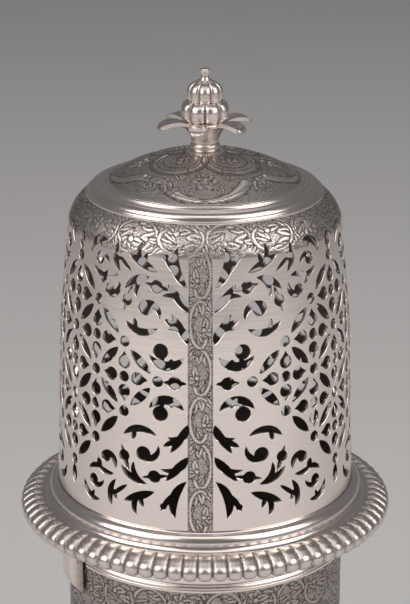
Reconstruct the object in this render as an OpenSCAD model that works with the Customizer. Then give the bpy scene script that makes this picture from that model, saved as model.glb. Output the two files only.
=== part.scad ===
// Sugar caster: a round body on a gadrooned foot and a tall pierced cover
// that drops over the body's neck and locks with two bayonet lugs.
// Millimetres, +Z up, origin on the table under the axis, front towards -Y.

/* [Body] */
// Radius of the body's wall, outside
body_r = 34.3; // [32:0.1:37]
// Height of the seat that carries the cover, above the table
body_h = 97; // [80:0.5:120]
// Thickness of the silver sheet of body and cover
sheet = 0.9; // [0.7:0.05:1.2]
// Height of the neck above the seat
neck_rise = 7; // [5:0.5:8]
// Height of the rim moulding under the seat
rim_h = 6.5; // [5:0.5:9]

/* [Foot] */
// Height of the foot up to the body's floor
foot_h = 16; // [13:0.5:22]
// Overhang of the foot's gadrooned edge beyond the body's wall
foot_spread = 11.2; // [10:0.2:14]
// Number of lobes round the foot
foot_lobes = 78; // [60:1:84]

/* [Cover] */
// Height of the drum, from the gadrooned edge to the top moulding
drum_h = 79.4; // [70:0.2:92]
// Rise of the domed top plate above the top moulding
dome_rise = 7.3; // [4:0.1:8]
// Overhang of the cover's gadrooned edge beyond the body's wall
flange_spread = 11.7; // [10.6:0.1:14]
// Number of lobes round the cover
cover_lobes = 80; // [60:1:84]

/* [Piercing] */
// Size of the pierced openings against their drawn size
pierce_size = 1; // [0.85:0.01:1.05]
// Drift of the right-hand scrolls towards the engraved band
hand_shift = 2.2; // [0:0.1:2.6]

/* [Bayonet] */
// Direction of the first lug, from the front towards the right
lug_angle = -62; // [-80:1:-40]
// Width of a lug along the rim
lug_w = 4; // [3:0.2:6]

/* [Finial] */
// Reach of the calyx leaves from the axis
leaf_reach = 11.7; // [8.5:0.1:13]
// Height of the finial's tip above the upper bud
tip_rise = 2.8; // [2.5:0.1:5]

/* [Hidden] */
$fn = 64;
// Gap left for solder between two round pieces of one assembly
solder = 0.05;
// Running gap between body and cover
play = 0.3;
// Cutting tools overshoot the faces they open
over = 1;

// Seat and gadrooned edge of the cover
seat_z = body_h;
edge_drop = 3.5;
edge_z = seat_z + edge_drop;
flange_r = body_r + flange_spread;

// Neck, bezel and wall radii
wall_in = body_r - sheet;
neck_r = wall_in - solder;
neck_in = neck_r - sheet;
neck_depth = 11;
bezel_in = neck_r + play;
bezel_r = bezel_in + sheet;
bezel_lip = 0.8;
bezel_out = play + 0.5;

// Drum radii and heights
drum_r = body_r + 2.25;
drum_sheet = sheet - 0.1;
ledge_z = edge_z + 4.8;
drum_top_z = edge_z + drum_h;
waist_z = edge_z + 0.63 * drum_h;
waist_r = drum_r - 1.35;
shoulder_r = 9.3;
shoulder_tilt = 6;
shoulder_z = drum_top_z - 8.32;
shoulder_c = shoulder_z - shoulder_r * sin(shoulder_tilt) + 0.9;
neck_of_drum = waist_r - (shoulder_z - waist_z) * tan(shoulder_tilt);
shoulder_axis = neck_of_drum - shoulder_r * cos(shoulder_tilt);
shoulder_step = 18;
shoulder_end = 60;
crown_r = shoulder_axis + shoulder_r * cos(shoulder_end);
crown_z = shoulder_c + shoulder_r * sin(shoulder_end);

// Base moulding, outwards from the drum and upwards from the gadrooned edge
border_gap = 3.7;
border_low = 2.5;
border_rise = 2.6;
shelf_out = 2.2;
step_rise = 2.4;
bead_r = 1.7;
bead_out = 0.55;
bead_rise = 4.2;
cove_r = 1.55;
cove_out = 0.15;
cove_rise = 4.05;
lip_w = 0.7;
lip_rise = 6.4;

// Top moulding and top plate
plate_lip = 0.2;
top_ring_r = crown_r + 0.1;
top_ring_w = 4.8;
plate_r = top_ring_r - top_ring_w;
top_ring_h = 3.1;
fillet_h = 0.7;
fillet_in = 0.45;
fillet_w = 0.6;
ring_bead_r = 3.75;
ring_bead_drop = 0.9;
ring_groove_r = 0.75;
ring_groove_out = 0.3;
ring_groove_rise = 1.15;
flange_in = plate_r - 1.6;
plate_edge_z = crown_z + top_ring_h - plate_lip;
seat_of_finial = 4.2;
plate_top_z = plate_edge_z + dome_rise;
dome_ball = (plate_r * plate_r + dome_rise * dome_rise) / (2 * dome_rise);

// Finial heights and radii
peg_r = 1.2;
peg_hole = peg_r + solder;
peg_up = 1.6;
head_r = 2.2;
head_h = 1;
washer_r = 3.4;
washer_h = 0.8;
washer_z = plate_top_z - drum_sheet - plate_lip;
head_z = washer_z - washer_h;
collar_h = 2;
collar_r = 3.6;
collar_neck = 0.7;
collar_step = 0.1;
collar_step_h = 0.6;
collar_bead_r = 0.95;
collar_bead_rise = 1;
calyx_z = plate_top_z + collar_h;
calyx_h = 5.2;
lower_bud_z = calyx_z + calyx_h;
lower_bud_r = 5.85;
lower_bud_h = 4.7;
upper_bud_z = lower_bud_z + lower_bud_h;
upper_bud_r = 4.3;
upper_bud_h = 5;
tip_z = upper_bud_z + upper_bud_h;
bud_lobes = 8;
lobe_gap = 0.2;
lobe_core = 1.15;
lower_bud_turn = 22.5;
upper_bud_turn = 0;
knob_r = 1.3;
stem_low_r = 1.25;
stem_r = 0.8;
leaf_count = 6;
leaf_turn = -10;
leaf_thick = 0.8;
leaf_root = 2.6;
leaf_low = 2.9;
leaf_arch = 2.1;
leaf_roll = 150;
leaf_half = 2.9;
cup_in = 0.2;
cup_r = 5.8;
cup_lip = 0.4;
cup_rise = 0.85;
cup_flare = 1.9;

// Rim moulding and its notches
rim_in = body_r + solder;
rim_r = body_r + 1.9;
rim_strip = 0.3;
notch_half = 9;
rim_neck = 0.6;
rim_lip = 0.2;
rim_lip_h = 1;
reed_r = 0.7;
reed_low = 0.6;
reed_high = 1.9;
wall_short = 0.3;

// Bayonet lugs
lug_in = rim_in + rim_strip + play;
lug_r = rim_r + 2.2;
lug_slot = rim_r + play;
hook_top = seat_z - rim_h - play;
hook_drop = 8;
hook_h = 2;
hook_curve = 1.5;

// Foot
foot_r = body_r + foot_spread;
foot_rim_h = 2;
foot_rim_in = 8;
foot_rim_out = 1.2;
foot_plate = 1;
base_ring_h = 4.5;
base_ring_out = 2.2;
base_ring_r = 2.6;
base_ring_rise = 1.9;
foot_edge_z = foot_rim_h + 3;
foot_wall = 1.2;
foot_top_r = body_r + base_ring_out;
foot_hole = body_r - 7;
foot_edge_r = foot_r - 5.8;
flare_z = foot_h - 1.6;
flare_fall = flare_z - foot_edge_z - 2.3;
flare_run = foot_edge_r - foot_top_r;
foot_border_rise = 2.1;

// Gadrooned rings: the round outer bulb and the grooves between the lobes
bulb_r = 1.8;
bulb_low = -40;
bulb_high = 65;
bulb_step = 35;
crest_in = 0.9;
crest_drop = 0.3;
groove_half = 0.8;
groove_neck = 0.35;
groove_top = 0.35;
groove_side = 0.42;
groove_deep = 1.35;
groove_run = 0.6;

// Piercing: a panel is drawn flat, x along the drum from the band's
// middle line, h up from the panel's middle, in its drawn size
panels = 3;
panel_span = 360 / panels;
draw_r = 35.2;
arc_mm = draw_r * PI / 180;
draw_h = 79.4;
rise_k = drum_h / draw_h;
mid_z = edge_z + 43 * rise_k;
draw_k = min(drum_r / 36.55, rise_k) * pierce_size;
lower_stretch = 1.05;
hand_reach = 32;
mesh_turn = 14;
mesh_rise = 8.5;
centre_x = panel_span / 2 * arc_mm;
saw_in = 2.6;
saw_len = 4.2;
split_z = mid_z + 1.68 * rise_k;

// Ring of a rectangular section
module ring(r_in, r_out, z0, z1) {
    difference() {
        translate([0, 0, z0]) cylinder(h = z1 - z0, r = r_out);
        translate([0, 0, z0 - over]) cylinder(h = z1 - z0 + 2 * over, r = r_in);
    }
}

// Arc from p to q that rises by s to the left of the way there
function arc_len(p, q) = norm(q - p);
function arc_rad(p, q, s) = (arc_len(p, q) * arc_len(p, q) / 4 + s * s) / (2 * abs(s));
function arc_left(p, q) = [p[1] - q[1], q[0] - p[0]] / arc_len(p, q);
function arc_mid(p, q, s) = (p + q) / 2 + arc_left(p, q) * (s - sign(s) * arc_rad(p, q, s));

module arc_disc(p, q, s) {
    translate(arc_mid(p, q, s)) circle(r = arc_rad(p, q, s));
}

// Blade between two arcs from p to q, with the rises s and t
module blade(p, q, s, t) {
    if (s * t < 0) {
        intersection() {
            arc_disc(p, q, s);
            arc_disc(p, q, t);
        }
    } else {
        difference() {
            arc_disc(p, q, abs(s) > abs(t) ? s : t);
            arc_disc(p, q, abs(s) > abs(t) ? t : s);
        }
    }
}

module dot(p, r) {
    translate(p) circle(r = r);
}

// Outer radius of the drum's wall at height z
function cone_r(z) = drum_r - (drum_r - waist_r) * (z - ledge_z) / (waist_z - ledge_z);
function wall_r(z) = z < waist_z ? cone_r(z)
    : z < shoulder_z ? waist_r - (z - waist_z) * tan(shoulder_tilt)
    : shoulder_axis + sqrt(max(1, pow(shoulder_r, 2) - pow(z - shoulder_c, 2)));

// One opening sawn radially through the drum round its own centre,
// above the panel's middle, or mirrored below it
module saw(x, h, shift = 0, below = false) {
    drift = shift * max(0, 1 - x / hand_reach);
    up = h * rise_k * (below ? -lower_stretch : 1);
    rotate([0, 0, (x - drift) / arc_mm])
        translate([0, saw_in - wall_r(mid_z + up), mid_z + up]) rotate([90, 0, 0])
            linear_extrude(height = saw_len) mirror([0, below ? 1 : 0])
                scale(draw_k) translate([-x, -h]) children();
}

// Scroll openings of a quarter panel, from the band outwards
module scrolls(shift, below) {
    // Forked leaf beside the band
    saw(6.8, 27.5, shift, below) {
        blade([4.2, 22.7], [6.8, 32.0], -0.6, -2.6);
        blade([5.1, 25.0], [10.3, 30.5], 0.4, -1.2);
    }
    // Three-pointed leaf
    saw(15.6, 28.6, shift, below) {
        blade([19.4, 29.3], [11.8, 25.9], 1.0, -0.9);
        blade([16.2, 32.3], [15.4, 27.0], 1.6, 0.35);
    }
    // Crook with a branch
    saw(22.2, 28.2, shift, below) {
        blade([22.9, 31.6], [21.9, 24.8], 1.8, 0.35);
        blade([23.2, 29.0], [18.7, 25.4], 0.55, -0.45);
    }
    // Arched leaf
    saw(29.5, 29.6, shift, below) blade([32.2, 27.4], [26.8, 31.1], -0.8, -2.4);
    // Leaf and the bud at its point
    saw(7.0, 20.3, shift, below) blade([3.8, 16.9], [9.9, 22.1], 1.5, -0.5);
    saw(11.9, 22.6, shift, below) dot([11.9, 22.6], 1.45);
    // Split leaf and the bud below it
    saw(17.0, 22.6, shift, below) {
        blade([13.65, 24.5], [20.3, 21.1], 1.6, -0.35);
        blade([14.7, 23.9], [16.9, 19.6], 1.9, 0.8);
    }
    saw(19.5, 18.2, shift, below) dot([19.5, 18.2], 1.3);
    // Comma
    saw(13.4, 17.2, shift, below) {
        dot([14.5, 17.3], 1.7);
        blade([16.1, 17.6], [10.8, 14.9], -1.5, -2.85);
    }
    // Crescent
    saw(15.4, 12.4, shift, below) blade([19.7, 13.6], [11.3, 12.7], 2.5, 0.9);
    // Thorned leaf beside the band
    saw(6.6, 13.2, shift, below) {
        blade([4.05, 9.4], [7.9, 16.4], 1.1, -0.5);
        blade([4.05, 9.4], [9.3, 14.2], 1.5, -0.3);
    }
    // Ball over a crescent
    saw(10.4, 7.6, shift, below) dot([10.4, 7.6], 1.75);
    saw(8.9, 4.8, shift, below) blade([13.05, 6.3], [4.9, 6.3], 3.4, 1.4);
    // Small comma
    saw(28.0, 26.9, shift, below) {
        dot([28.8, 26.6], 1.3);
        blade([30.1, 27.0], [25.5, 26.0], -0.8, -1.85);
    }
    // Winged leaf
    saw(26.6, 23.2, shift, below) {
        blade([30.6, 24.5], [25.8, 23.0], 1.3, 0.2);
        blade([27.9, 22.3], [22.5, 23.7], -0.2, -1.3);
    }
    // Hook
    saw(24.1, 20.1, shift, below) blade([26.3, 20.4], [22.0, 22.3], 2.7, 1.0);
}

// Lattice of dots, quatrefoils and pointed slots, above or below the split
module lattice(upper) {
    step_x = mesh_turn * arc_mm;
    for (i = [0:3], j = [0:3]) {
        x = centre_x + (i - j) * step_x;
        h = (i + j - 3) * mesh_rise;
        if (upper == (h > 0)) saw(x, h) dot([x, h], 1.2);
        if (upper == (h >= 0) && i < 3) lattice_bar(x, h, step_x);
        if (upper == (h >= 0) && j < 3) lattice_bar(x, h, -step_x);
    }
    for (i = [0:2], j = [0:2])
        quatrefoil(centre_x + (i - j) * step_x, (i + j - 2) * mesh_rise, upper);
    h = upper ? 29.2 : -29.2;
    saw(centre_x, h) blade([centre_x, h - 2.3], [centre_x, h + 2.3], 1.1, -1.1);
}

// Pointed slot on one edge of the lattice
module lattice_bar(x, h, run) {
    mid = [x + run / 2, h + mesh_rise / 2];
    half = [run, mesh_rise] * 0.29;
    saw(mid[0], mid[1]) blade(mid - half, mid + half, 1.05, -1.05);
}

// Dot between four drops
module quatrefoil(x, h, upper) {
    if (upper == (h > 0)) {
        saw(x, h) dot([x, h], 1.2);
        for (d = [[1, 0], [-1, 0], [0, -1]]) drop(x, h, d);
    }
    if (upper == (h >= 0)) drop(x, h, [0, 1]);
}

// Drop that points away from a quatrefoil's middle
module drop(x, h, d) {
    side = [-d[1], d[0]];
    saw(x + 3.55 * d[0], h + 3.55 * d[1]) {
        dot([x, h] + 3.55 * d, 1.5);
        polygon([[x, h] + 4.3 * d + 1.2 * side, [x, h] + 6.1 * d, [x, h] + 4.3 * d - 1.2 * side]);
    }
}

// Sections of the drum's wall below and above the split, and its turned-in top flange
function turned(list) = [for (k = [len(list) - 1:-1:0]) list[k]];
function lower_face(d) = [[drum_r - d, ledge_z], [cone_r(split_z) - d, split_z]];
function upper_face(d) = concat([[cone_r(split_z) - d, split_z], [waist_r - d, waist_z]],
    [for (a = [shoulder_tilt:shoulder_step:shoulder_end])
        [shoulder_axis + (shoulder_r - d) * cos(a), shoulder_c + (shoulder_r - d) * sin(a)]]);
function lower_section() = concat(lower_face(0), turned(lower_face(drum_sheet)));
function upper_section() = concat(upper_face(0),
    [[flange_in, crown_z], [flange_in, crown_z - drum_sheet]], turned(upper_face(drum_sheet)));

// Panel k of the drum, from the middle of a band to the middle of the next
module drum_panel(k, upper) {
    difference() {
        rotate_extrude(angle = panel_span, start = k * panel_span - 90)
            polygon(upper ? upper_section() : lower_section());
        rotate([0, 0, k * panel_span]) lattice(upper);
        rotate([0, 0, k * panel_span]) panel_side(hand_shift, upper);
        rotate([0, 0, (k + 1) * panel_span]) mirror([1, 0, 0]) panel_side(0, upper);
    }
}

// Scrolls of one side of a panel, with a pointed bead on the middle line
module panel_side(shift, upper) {
    scrolls(shift, !upper);
    if (!upper) saw(7.0, 0, shift) {
        dot([7.0, 0], 1.5);
        blade([9.7, 0], [4.2, 0], 0.65, -0.65);
    }
}

// Tall cylinder of sheet silver, sawn through in three panels
module pierced_drum() {
    color("silver") for (k = [0:panels - 1]) {
        drum_panel(k, true);
        drum_panel(k, false);
    }
}

// Section of a gadrooned ring: flat below, round at the outer edge, sloping up inwards
function border_section(r_in, r_out, z0, z_top) = concat(
    [[r_in, z0], [r_out - bulb_r, z0]],
    [for (a = [bulb_low:bulb_step:bulb_high])
        [r_out - bulb_r + bulb_r * cos(a), z0 + bulb_r + bulb_r * sin(a)]],
    [[r_in + crest_in, z_top], [r_in, z_top - crest_drop]]);

// Grooves that part a sloping ring into rounded lobes
module grooves(count, r_in, r_out, z0, z_top) {
    half = PI * (r_out - bulb_r) / count;
    run = r_out - bulb_r * (1 - cos(bulb_high)) - r_in - crest_in;
    fall = atan2(z_top - z0 - bulb_r * (1 + sin(bulb_high)), run);
    deep = 2 * (r_out - r_in);
    for (k = [0:count - 1]) rotate([0, 0, (k + 0.5) * 360 / count])
        translate([r_in + crest_in, 0, z_top]) rotate([0, fall, 0]) translate([deep, 0, 0])
            rotate([0, -90, 0]) rotate([0, 0, 90]) linear_extrude(height = deep + groove_run)
                polygon([[-groove_half * half, groove_top], [-groove_neck * half, -groove_side],
                    [0, -groove_deep], [groove_neck * half, -groove_side],
                    [groove_half * half, groove_top]]);
}

// Cast gadrooned ring
module border(count, r_in, r_out, z0, z_top) {
    difference() {
        rotate_extrude() polygon(border_section(r_in, r_out, z0, z_top));
        grooves(count, r_in, r_out, z0, z_top);
    }
}

// Cast gadrooned border round the cover
module gadroon_border() {
    color("silver") border(cover_lobes, drum_r + border_gap, flange_r, edge_z - border_low,
        edge_z + border_rise);
}

// Stepped moulding that carries the drum and rests on the body's rim
module base_moulding() {
    bore = bezel_r + play;
    edge_in = drum_r + border_gap - solder;
    shelf_r = edge_in + shelf_out;
    lip_in = drum_r + solder;
    color("silver") rotate_extrude() difference() {
        union() {
            translate([bore, seat_z]) square([shelf_r - bore, edge_drop - border_low]);
            translate([bore, seat_z]) square([edge_in - bore, edge_drop + step_rise]);
            translate([bore, seat_z]) square([drum_r + lip_w - bore, edge_drop + lip_rise]);
            translate([drum_r + bead_out, edge_z + bead_rise]) circle(r = bead_r);
        }
        translate([edge_in + cove_out, edge_z + cove_rise]) circle(r = cove_r);
        translate([0, ledge_z]) square([lip_in, 4 * edge_drop]);
    }
}

// Flanged collar inside the cover that slides over the body's neck
module cover_bezel() {
    color("silver") rotate_extrude() polygon([
        [bezel_in, seat_z + play], [bezel_r, seat_z + play], [bezel_r, ledge_z],
        [bezel_r + bezel_out, ledge_z], [bezel_r + bezel_out, ledge_z + bezel_lip],
        [bezel_in, ledge_z + bezel_lip]]);
}

// Lug under the cover that hooks below the rim moulding
module bayonet_lug(turn) {
    low = hook_top - hook_drop;
    bow = lug_r - lug_in;
    color("silver") rotate([0, 0, turn - 90]) translate([0, lug_w / 2, 0]) rotate([90, 0, 0])
        linear_extrude(height = lug_w) union() {
            translate([lug_slot, hook_top - hook_h])
                square([lug_r - lug_slot, seat_z - hook_top + hook_h]);
            translate([lug_in, hook_top - hook_h]) square([bow, hook_h]);
            intersection() {
                translate([lug_in, low]) square([bow, hook_drop]);
                translate([lug_r - hook_drop, hook_top - hook_curve]) circle(r = hook_drop);
            }
        }
}

module bayonet_lug_left() {
    bayonet_lug(lug_angle);
}

module bayonet_lug_right() {
    bayonet_lug(lug_angle + 180);
}

// Reeded ring that covers the joint of drum and top plate
module top_moulding() {
    color("silver") rotate_extrude() difference() {
        union() {
            translate([plate_r + solder, crown_z]) square([top_ring_w - solder, fillet_h]);
            intersection() {
                translate([plate_r + solder, crown_z]) square([top_ring_w - fillet_in, top_ring_h]);
                translate([plate_r + fillet_w, crown_z - ring_bead_drop]) circle(r = ring_bead_r);
            }
            translate([plate_r + solder, crown_z]) square([fillet_w, top_ring_h]);
        }
        translate([top_ring_r + ring_groove_out, crown_z + ring_groove_rise])
            circle(r = ring_groove_r);
    }
}

// Domed plate with a flat seat for the finial
module top_plate() {
    dome_c = plate_top_z - dome_ball;
    inner = dome_ball - drum_sheet;
    color("silver") difference() {
        rotate_extrude() difference() {
            union() {
                translate([0, crown_z]) square([plate_r, plate_edge_z - crown_z]);
                intersection() {
                    translate([0, plate_edge_z]) square([plate_r, dome_rise - plate_lip]);
                    translate([0, dome_c]) circle(r = dome_ball);
                }
                translate([0, plate_edge_z]) square([seat_of_finial, dome_rise]);
            }
            translate([0, crown_z - over])
                square([plate_r - drum_sheet, plate_edge_z - crown_z + over]);
            intersection() {
                translate([0, plate_edge_z - 2 * drum_sheet])
                    square([plate_r - drum_sheet, dome_rise + 2 * drum_sheet]);
                translate([0, dome_c]) circle(r = inner);
                translate([0, plate_edge_z - dome_rise])
                    square([plate_r, 2 * dome_rise - drum_sheet - plate_lip]);
            }
        }
        translate([0, 0, crown_z]) cylinder(h = 4 * dome_rise, r = peg_hole);
    }
}

// Washer under the top plate, against the peg's riveted head
module finial_washer() {
    color("silver") ring(peg_hole, washer_r, head_z, washer_z);
}

// Peg through the finial, riveted inside the cover
module finial_peg() {
    color("silver") union() {
        translate([0, 0, head_z - head_h]) cylinder(h = head_h, r = head_r);
        translate([0, 0, head_z - head_h / 2])
            cylinder(h = upper_bud_z + peg_up - head_z, r = peg_r);
    }
}

// Turned collar under the calyx
module finial_collar() {
    color("silver") difference() {
        rotate_extrude() union() {
            translate([0, plate_top_z]) square([collar_r - collar_neck, collar_h]);
            translate([0, plate_top_z]) square([collar_r - collar_step, collar_step_h]);
            intersection() {
                translate([0, plate_top_z]) square([2 * collar_r, collar_h]);
                translate([collar_r - collar_bead_r, plate_top_z + collar_bead_rise])
                    circle(r = collar_bead_r);
            }
        }
        translate([0, 0, plate_top_z - over]) cylinder(h = collar_h + 2 * over, r = peg_hole);
    }
}

// Outline of a leaf that flares from the cup and rolls over at its tip
function leaf_rise(t) = leaf_low + leaf_arch * sin(leaf_roll * t);
function leaf_line(d) = [for (t = [0:0.125:1])
    [leaf_root + (leaf_reach - leaf_root) * t, calyx_z + leaf_rise(t) + d]];

// Outline of the cup, which flares towards its lip
function cup_line() = [for (t = [0:0.2:1])
    [collar_r - cup_in + (cup_r - collar_r + cup_in) * pow(t, cup_flare), calyx_z + calyx_h * cup_rise * t]];

// Cup with a ring of spreading leaves
module finial_calyx() {
    color("silver") difference() {
        union() {
            rotate_extrude() polygon(concat([[0, calyx_z]], cup_line(),
                [[cup_r - cup_lip, calyx_z + calyx_h], [0, calyx_z + calyx_h]]));
            intersection() {
                rotate_extrude() polygon(concat(leaf_line(0), turned(leaf_line(leaf_thick))));
                for (k = [0:leaf_count - 1]) rotate([0, 0, k * 360 / leaf_count + leaf_turn - 90])
                    translate([0, 0, calyx_z - over]) linear_extrude(height = 3 * calyx_h)
                        blade([leaf_reach, 0], [-over, 0], leaf_half, -leaf_half);
            }
        }
        translate([0, 0, calyx_z - over]) cylinder(h = calyx_h + 2 * over, r = peg_hole);
    }
}

// Ring of ball lobes round a core, like a melon
module bud(z, h, r, turn) {
    ball = h / 2 - lobe_gap;
    for (k = [0:bud_lobes - 1]) rotate([0, 0, k * 360 / bud_lobes + turn])
        translate([r - ball, 0, z + h / 2]) sphere(r = ball);
    translate([0, 0, z]) cylinder(h = h, r = r - lobe_core * ball);
}

module finial_lower_bud() {
    color("silver") difference() {
        bud(lower_bud_z, lower_bud_h, lower_bud_r, lower_bud_turn);
        translate([0, 0, lower_bud_z - over]) cylinder(h = lower_bud_h + 2 * over, r = peg_hole);
    }
}

module finial_upper_bud() {
    color("silver") difference() {
        bud(upper_bud_z, upper_bud_h, upper_bud_r, upper_bud_turn);
        translate([0, 0, upper_bud_z - over]) cylinder(h = peg_up + over + solder, r = peg_hole);
    }
}

// Stem and knob on top
module finial_tip() {
    color("silver") union() {
        translate([0, 0, tip_z]) cylinder(h = tip_rise - knob_r, r1 = stem_low_r, r2 = stem_r);
        translate([0, 0, tip_z + tip_rise - knob_r]) sphere(r = knob_r);
    }
}

// Rolled wall of the body
module body_wall() {
    color("silver") ring(wall_in, body_r, foot_h, seat_z - wall_short);
}

// Flat floor inside the wall
module body_floor() {
    color("silver") translate([0, 0, foot_h]) cylinder(h = sheet, r = wall_in - solder);
}

// Neck inside the wall that guides the cover
module body_neck() {
    color("silver") ring(neck_in, neck_r, seat_z - neck_depth, seat_z + neck_rise);
}

// Moulding round the mouth, cut away at two notches for the lugs
module rim_moulding() {
    z = seat_z - rim_h;
    color("silver") difference() {
        rotate_extrude() union() {
            translate([rim_in, z]) square([rim_r - rim_neck - rim_in, rim_h]);
            translate([rim_in, seat_z - rim_lip_h]) square([rim_r - rim_lip - rim_in, rim_lip_h]);
            intersection() {
                translate([rim_in, z]) square([2 * rim_h, rim_h]);
                union() {
                    translate([rim_r - reed_r, z + reed_low]) circle(r = reed_r);
                    translate([rim_r - reed_r, seat_z - reed_high]) circle(r = reed_r);
                }
            }
        }
        for (k = [0, 180]) rotate([0, 0, lug_angle + k - 90]) notch(z);
    }
}

// Space of one notch, down to the strip left on the wall
module notch(z) {
    rotate([0, 0, -notch_half]) translate([0, 0, z - over])
        rotate_extrude(angle = 2 * notch_half)
            translate([rim_in + rim_strip, 0]) square([3 * rim_h, rim_h + 2 * over]);
}

// Half-round ring at the foot of the wall
module base_ring() {
    color("silver") rotate_extrude() intersection() {
        translate([body_r + solder, foot_h]) square([base_ring_out, base_ring_h]);
        translate([body_r + base_ring_out - base_ring_r, foot_h + base_ring_rise])
            circle(r = base_ring_r);
    }
}

// Flare of the foot, from the base ring out to the gadroons, pushed inwards by d
function flare_way(a) = [flare_run * sin(a), -flare_fall * cos(a)];
function flare_in(a) = [flare_way(a)[1], -flare_way(a)[0]] / norm(flare_way(a));
function flare(d) = [for (a = [0:15:90])
    [foot_top_r + flare_run * (1 - cos(a)), flare_z - flare_fall * sin(a)] + d * flare_in(a)];

// Spreading foot with a flat top plate
module foot() {
    color("silver") rotate_extrude() polygon(concat(
        [[foot_hole, foot_h], [foot_top_r, foot_h]], flare(0),
        [[foot_edge_r, foot_rim_h], [foot_edge_r - foot_wall, foot_rim_h]],
        [[foot_edge_r - foot_wall, flare_z - flare_fall - foot_wall]], turned(flare(foot_wall)),
        [[foot_top_r - foot_wall, foot_h - foot_plate], [foot_hole, foot_h - foot_plate]]));
}

// Cast gadrooned border round the foot
module foot_gadroon() {
    color("silver") border(foot_lobes, foot_edge_r + solder, foot_r, foot_rim_h,
        foot_edge_z + foot_border_rise);
}

// Flat wire that the caster stands on
module foot_rim() {
    color("silver") ring(foot_r - foot_rim_in, foot_r - foot_rim_out, 0, foot_rim_h);
}

foot_rim();
foot_gadroon();
foot();
base_ring();
body_wall();
body_floor();
body_neck();
rim_moulding();
cover_bezel();
base_moulding();
gadroon_border();
bayonet_lug_left();
bayonet_lug_right();
pierced_drum();
top_moulding();
top_plate();
finial_washer();
finial_peg();
finial_collar();
finial_calyx();
finial_lower_bud();
finial_upper_bud();
finial_tip();
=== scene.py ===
"""Looks of a silver sugar caster: engraved and pierced sheet, cast gadroons and a leafy finial.

Pieces are drawn in millimetres in the frame's own axes and scaled to metres when a mesh is made.
The front of the caster faces -Y, and angles run from the front towards +X, in degrees.
"""
import math

import bmesh
import bpy
import numpy as np
from mathutils.geometry import delaunay_2d_cdt
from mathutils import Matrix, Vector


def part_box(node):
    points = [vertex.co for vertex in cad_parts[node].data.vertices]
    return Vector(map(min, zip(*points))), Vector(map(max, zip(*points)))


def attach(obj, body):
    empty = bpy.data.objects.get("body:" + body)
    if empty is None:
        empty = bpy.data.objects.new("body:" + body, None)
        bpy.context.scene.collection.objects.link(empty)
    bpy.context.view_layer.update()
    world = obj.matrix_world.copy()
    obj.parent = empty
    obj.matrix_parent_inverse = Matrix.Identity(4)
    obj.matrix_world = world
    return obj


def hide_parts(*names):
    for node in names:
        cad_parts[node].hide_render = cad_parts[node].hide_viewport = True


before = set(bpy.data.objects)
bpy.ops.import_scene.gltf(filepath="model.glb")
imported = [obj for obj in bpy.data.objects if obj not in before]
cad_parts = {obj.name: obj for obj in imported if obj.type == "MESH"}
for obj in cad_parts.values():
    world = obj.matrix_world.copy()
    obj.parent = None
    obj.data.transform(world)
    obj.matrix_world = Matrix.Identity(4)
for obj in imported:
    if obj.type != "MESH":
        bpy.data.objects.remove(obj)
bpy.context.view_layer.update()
MM = 0.001
TINY, LEAST_LENGTH = 1e-6, 1e-12
X, Z = 0, 2


# Sizes read from the frame, in millimetres

def span(node, axis):
    """Lower and upper end of a node's box along an axis."""
    return tuple(end[axis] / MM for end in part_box(node))


def high(node, axis):
    """Upper end of a node's box along an axis."""
    return span(node, axis)[1]


BORDER_LOW = 2.5
EDGE_Z = span("gadroon_border", Z)[0] + BORDER_LOW
RIM_LOW_Z, SEAT_Z = span("rim_moulding", Z)
RIM_R = high("rim_moulding", X)
FLOOR_Z, WALL_TOP_Z = span("body_wall", Z)
BODY_R = high("body_wall", X)
FOOT_R = high("foot_gadroon", X)
LEDGE_Z, CROWN_Z = span("pierced_drum", Z)
DRUM_R = high("pierced_drum", X)
RING_R, RING_TOP_Z = high("top_moulding", X), high("top_moulding", Z)
PLATE_R, PLATE_TOP_Z = high("top_plate", X), high("top_plate", Z)
COLLAR_R = high("finial_collar", X)
CALYX_Z = span("finial_calyx", Z)[0]
LEAF_REACH = high("finial_calyx", X)
LOWER_BUD_Z = span("finial_lower_bud", Z)[0]
TIP_Z, TOP_Z = span("finial_tip", Z)
DRUM_SHEET, BODY_SHEET = 0.8, 0.9
GAP = 0.05


# Outlines in the plane

def arc(centre, radius, start, end, steps=10):
    """Points of a circular arc, with the angles in degrees."""
    turns = np.radians(np.linspace(start, end, steps + 1))
    return [(centre[0] + radius * math.cos(a), centre[1] + radius * math.sin(a)) for a in turns]


def bow(p, q, rise, steps=9):
    """Points of the arc from p to q that rises to the left of the way there, without q."""
    p, q = np.array(p, float), np.array(q, float)
    way = q - p
    length = math.hypot(*way)
    left = np.array([-way[1], way[0]]) / length
    radius = (length * length / 4 + rise * rise) / (2 * abs(rise))
    centre = (p + q) / 2 + left * (rise - math.copysign(radius, rise))
    first = math.atan2(*(p - centre)[::-1])
    sweep = -4 * math.atan(2 * rise / length)
    turns = first + sweep * np.arange(steps) / steps
    return np.stack([centre[0] + radius * np.cos(turns), centre[1] + radius * np.sin(turns)], 1)


def blade(p, q, rise, other_rise):
    """Pointed leaf between two arcs from p to q."""
    return np.concatenate([bow(p, q, rise), bow(q, p, -other_rise)])


def dot(centre, radius, sides=18):
    """Points of a circle."""
    return np.array(arc(centre, radius, 0, 360 * (1 - 1 / sides), sides - 1))


def signed_area(outline):
    """Area of an outline, positive where it runs anticlockwise."""
    x, y = np.asarray(outline, float).T
    return np.sum(x * np.roll(y, -1) - y * np.roll(x, -1)) / 2


def ease(value, start, end):
    """Smooth rise from 0 at the start to 1 at the end."""
    t = np.clip((value - start) / (end - start), 0, 1)
    return t * t * (3 - 2 * t)


# Meshes

TURN_STEPS, SMALL_STEPS, TIP_STEPS, RIM_STEPS = 288, 96, 64, 150
# Angles between two faces, in degrees, above which their edge stays sharp
SHARP_EDGE, BUD_EDGE, LEAF_EDGE, ENGRAVED_EDGE = 32, 50, 60, 70


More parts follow.
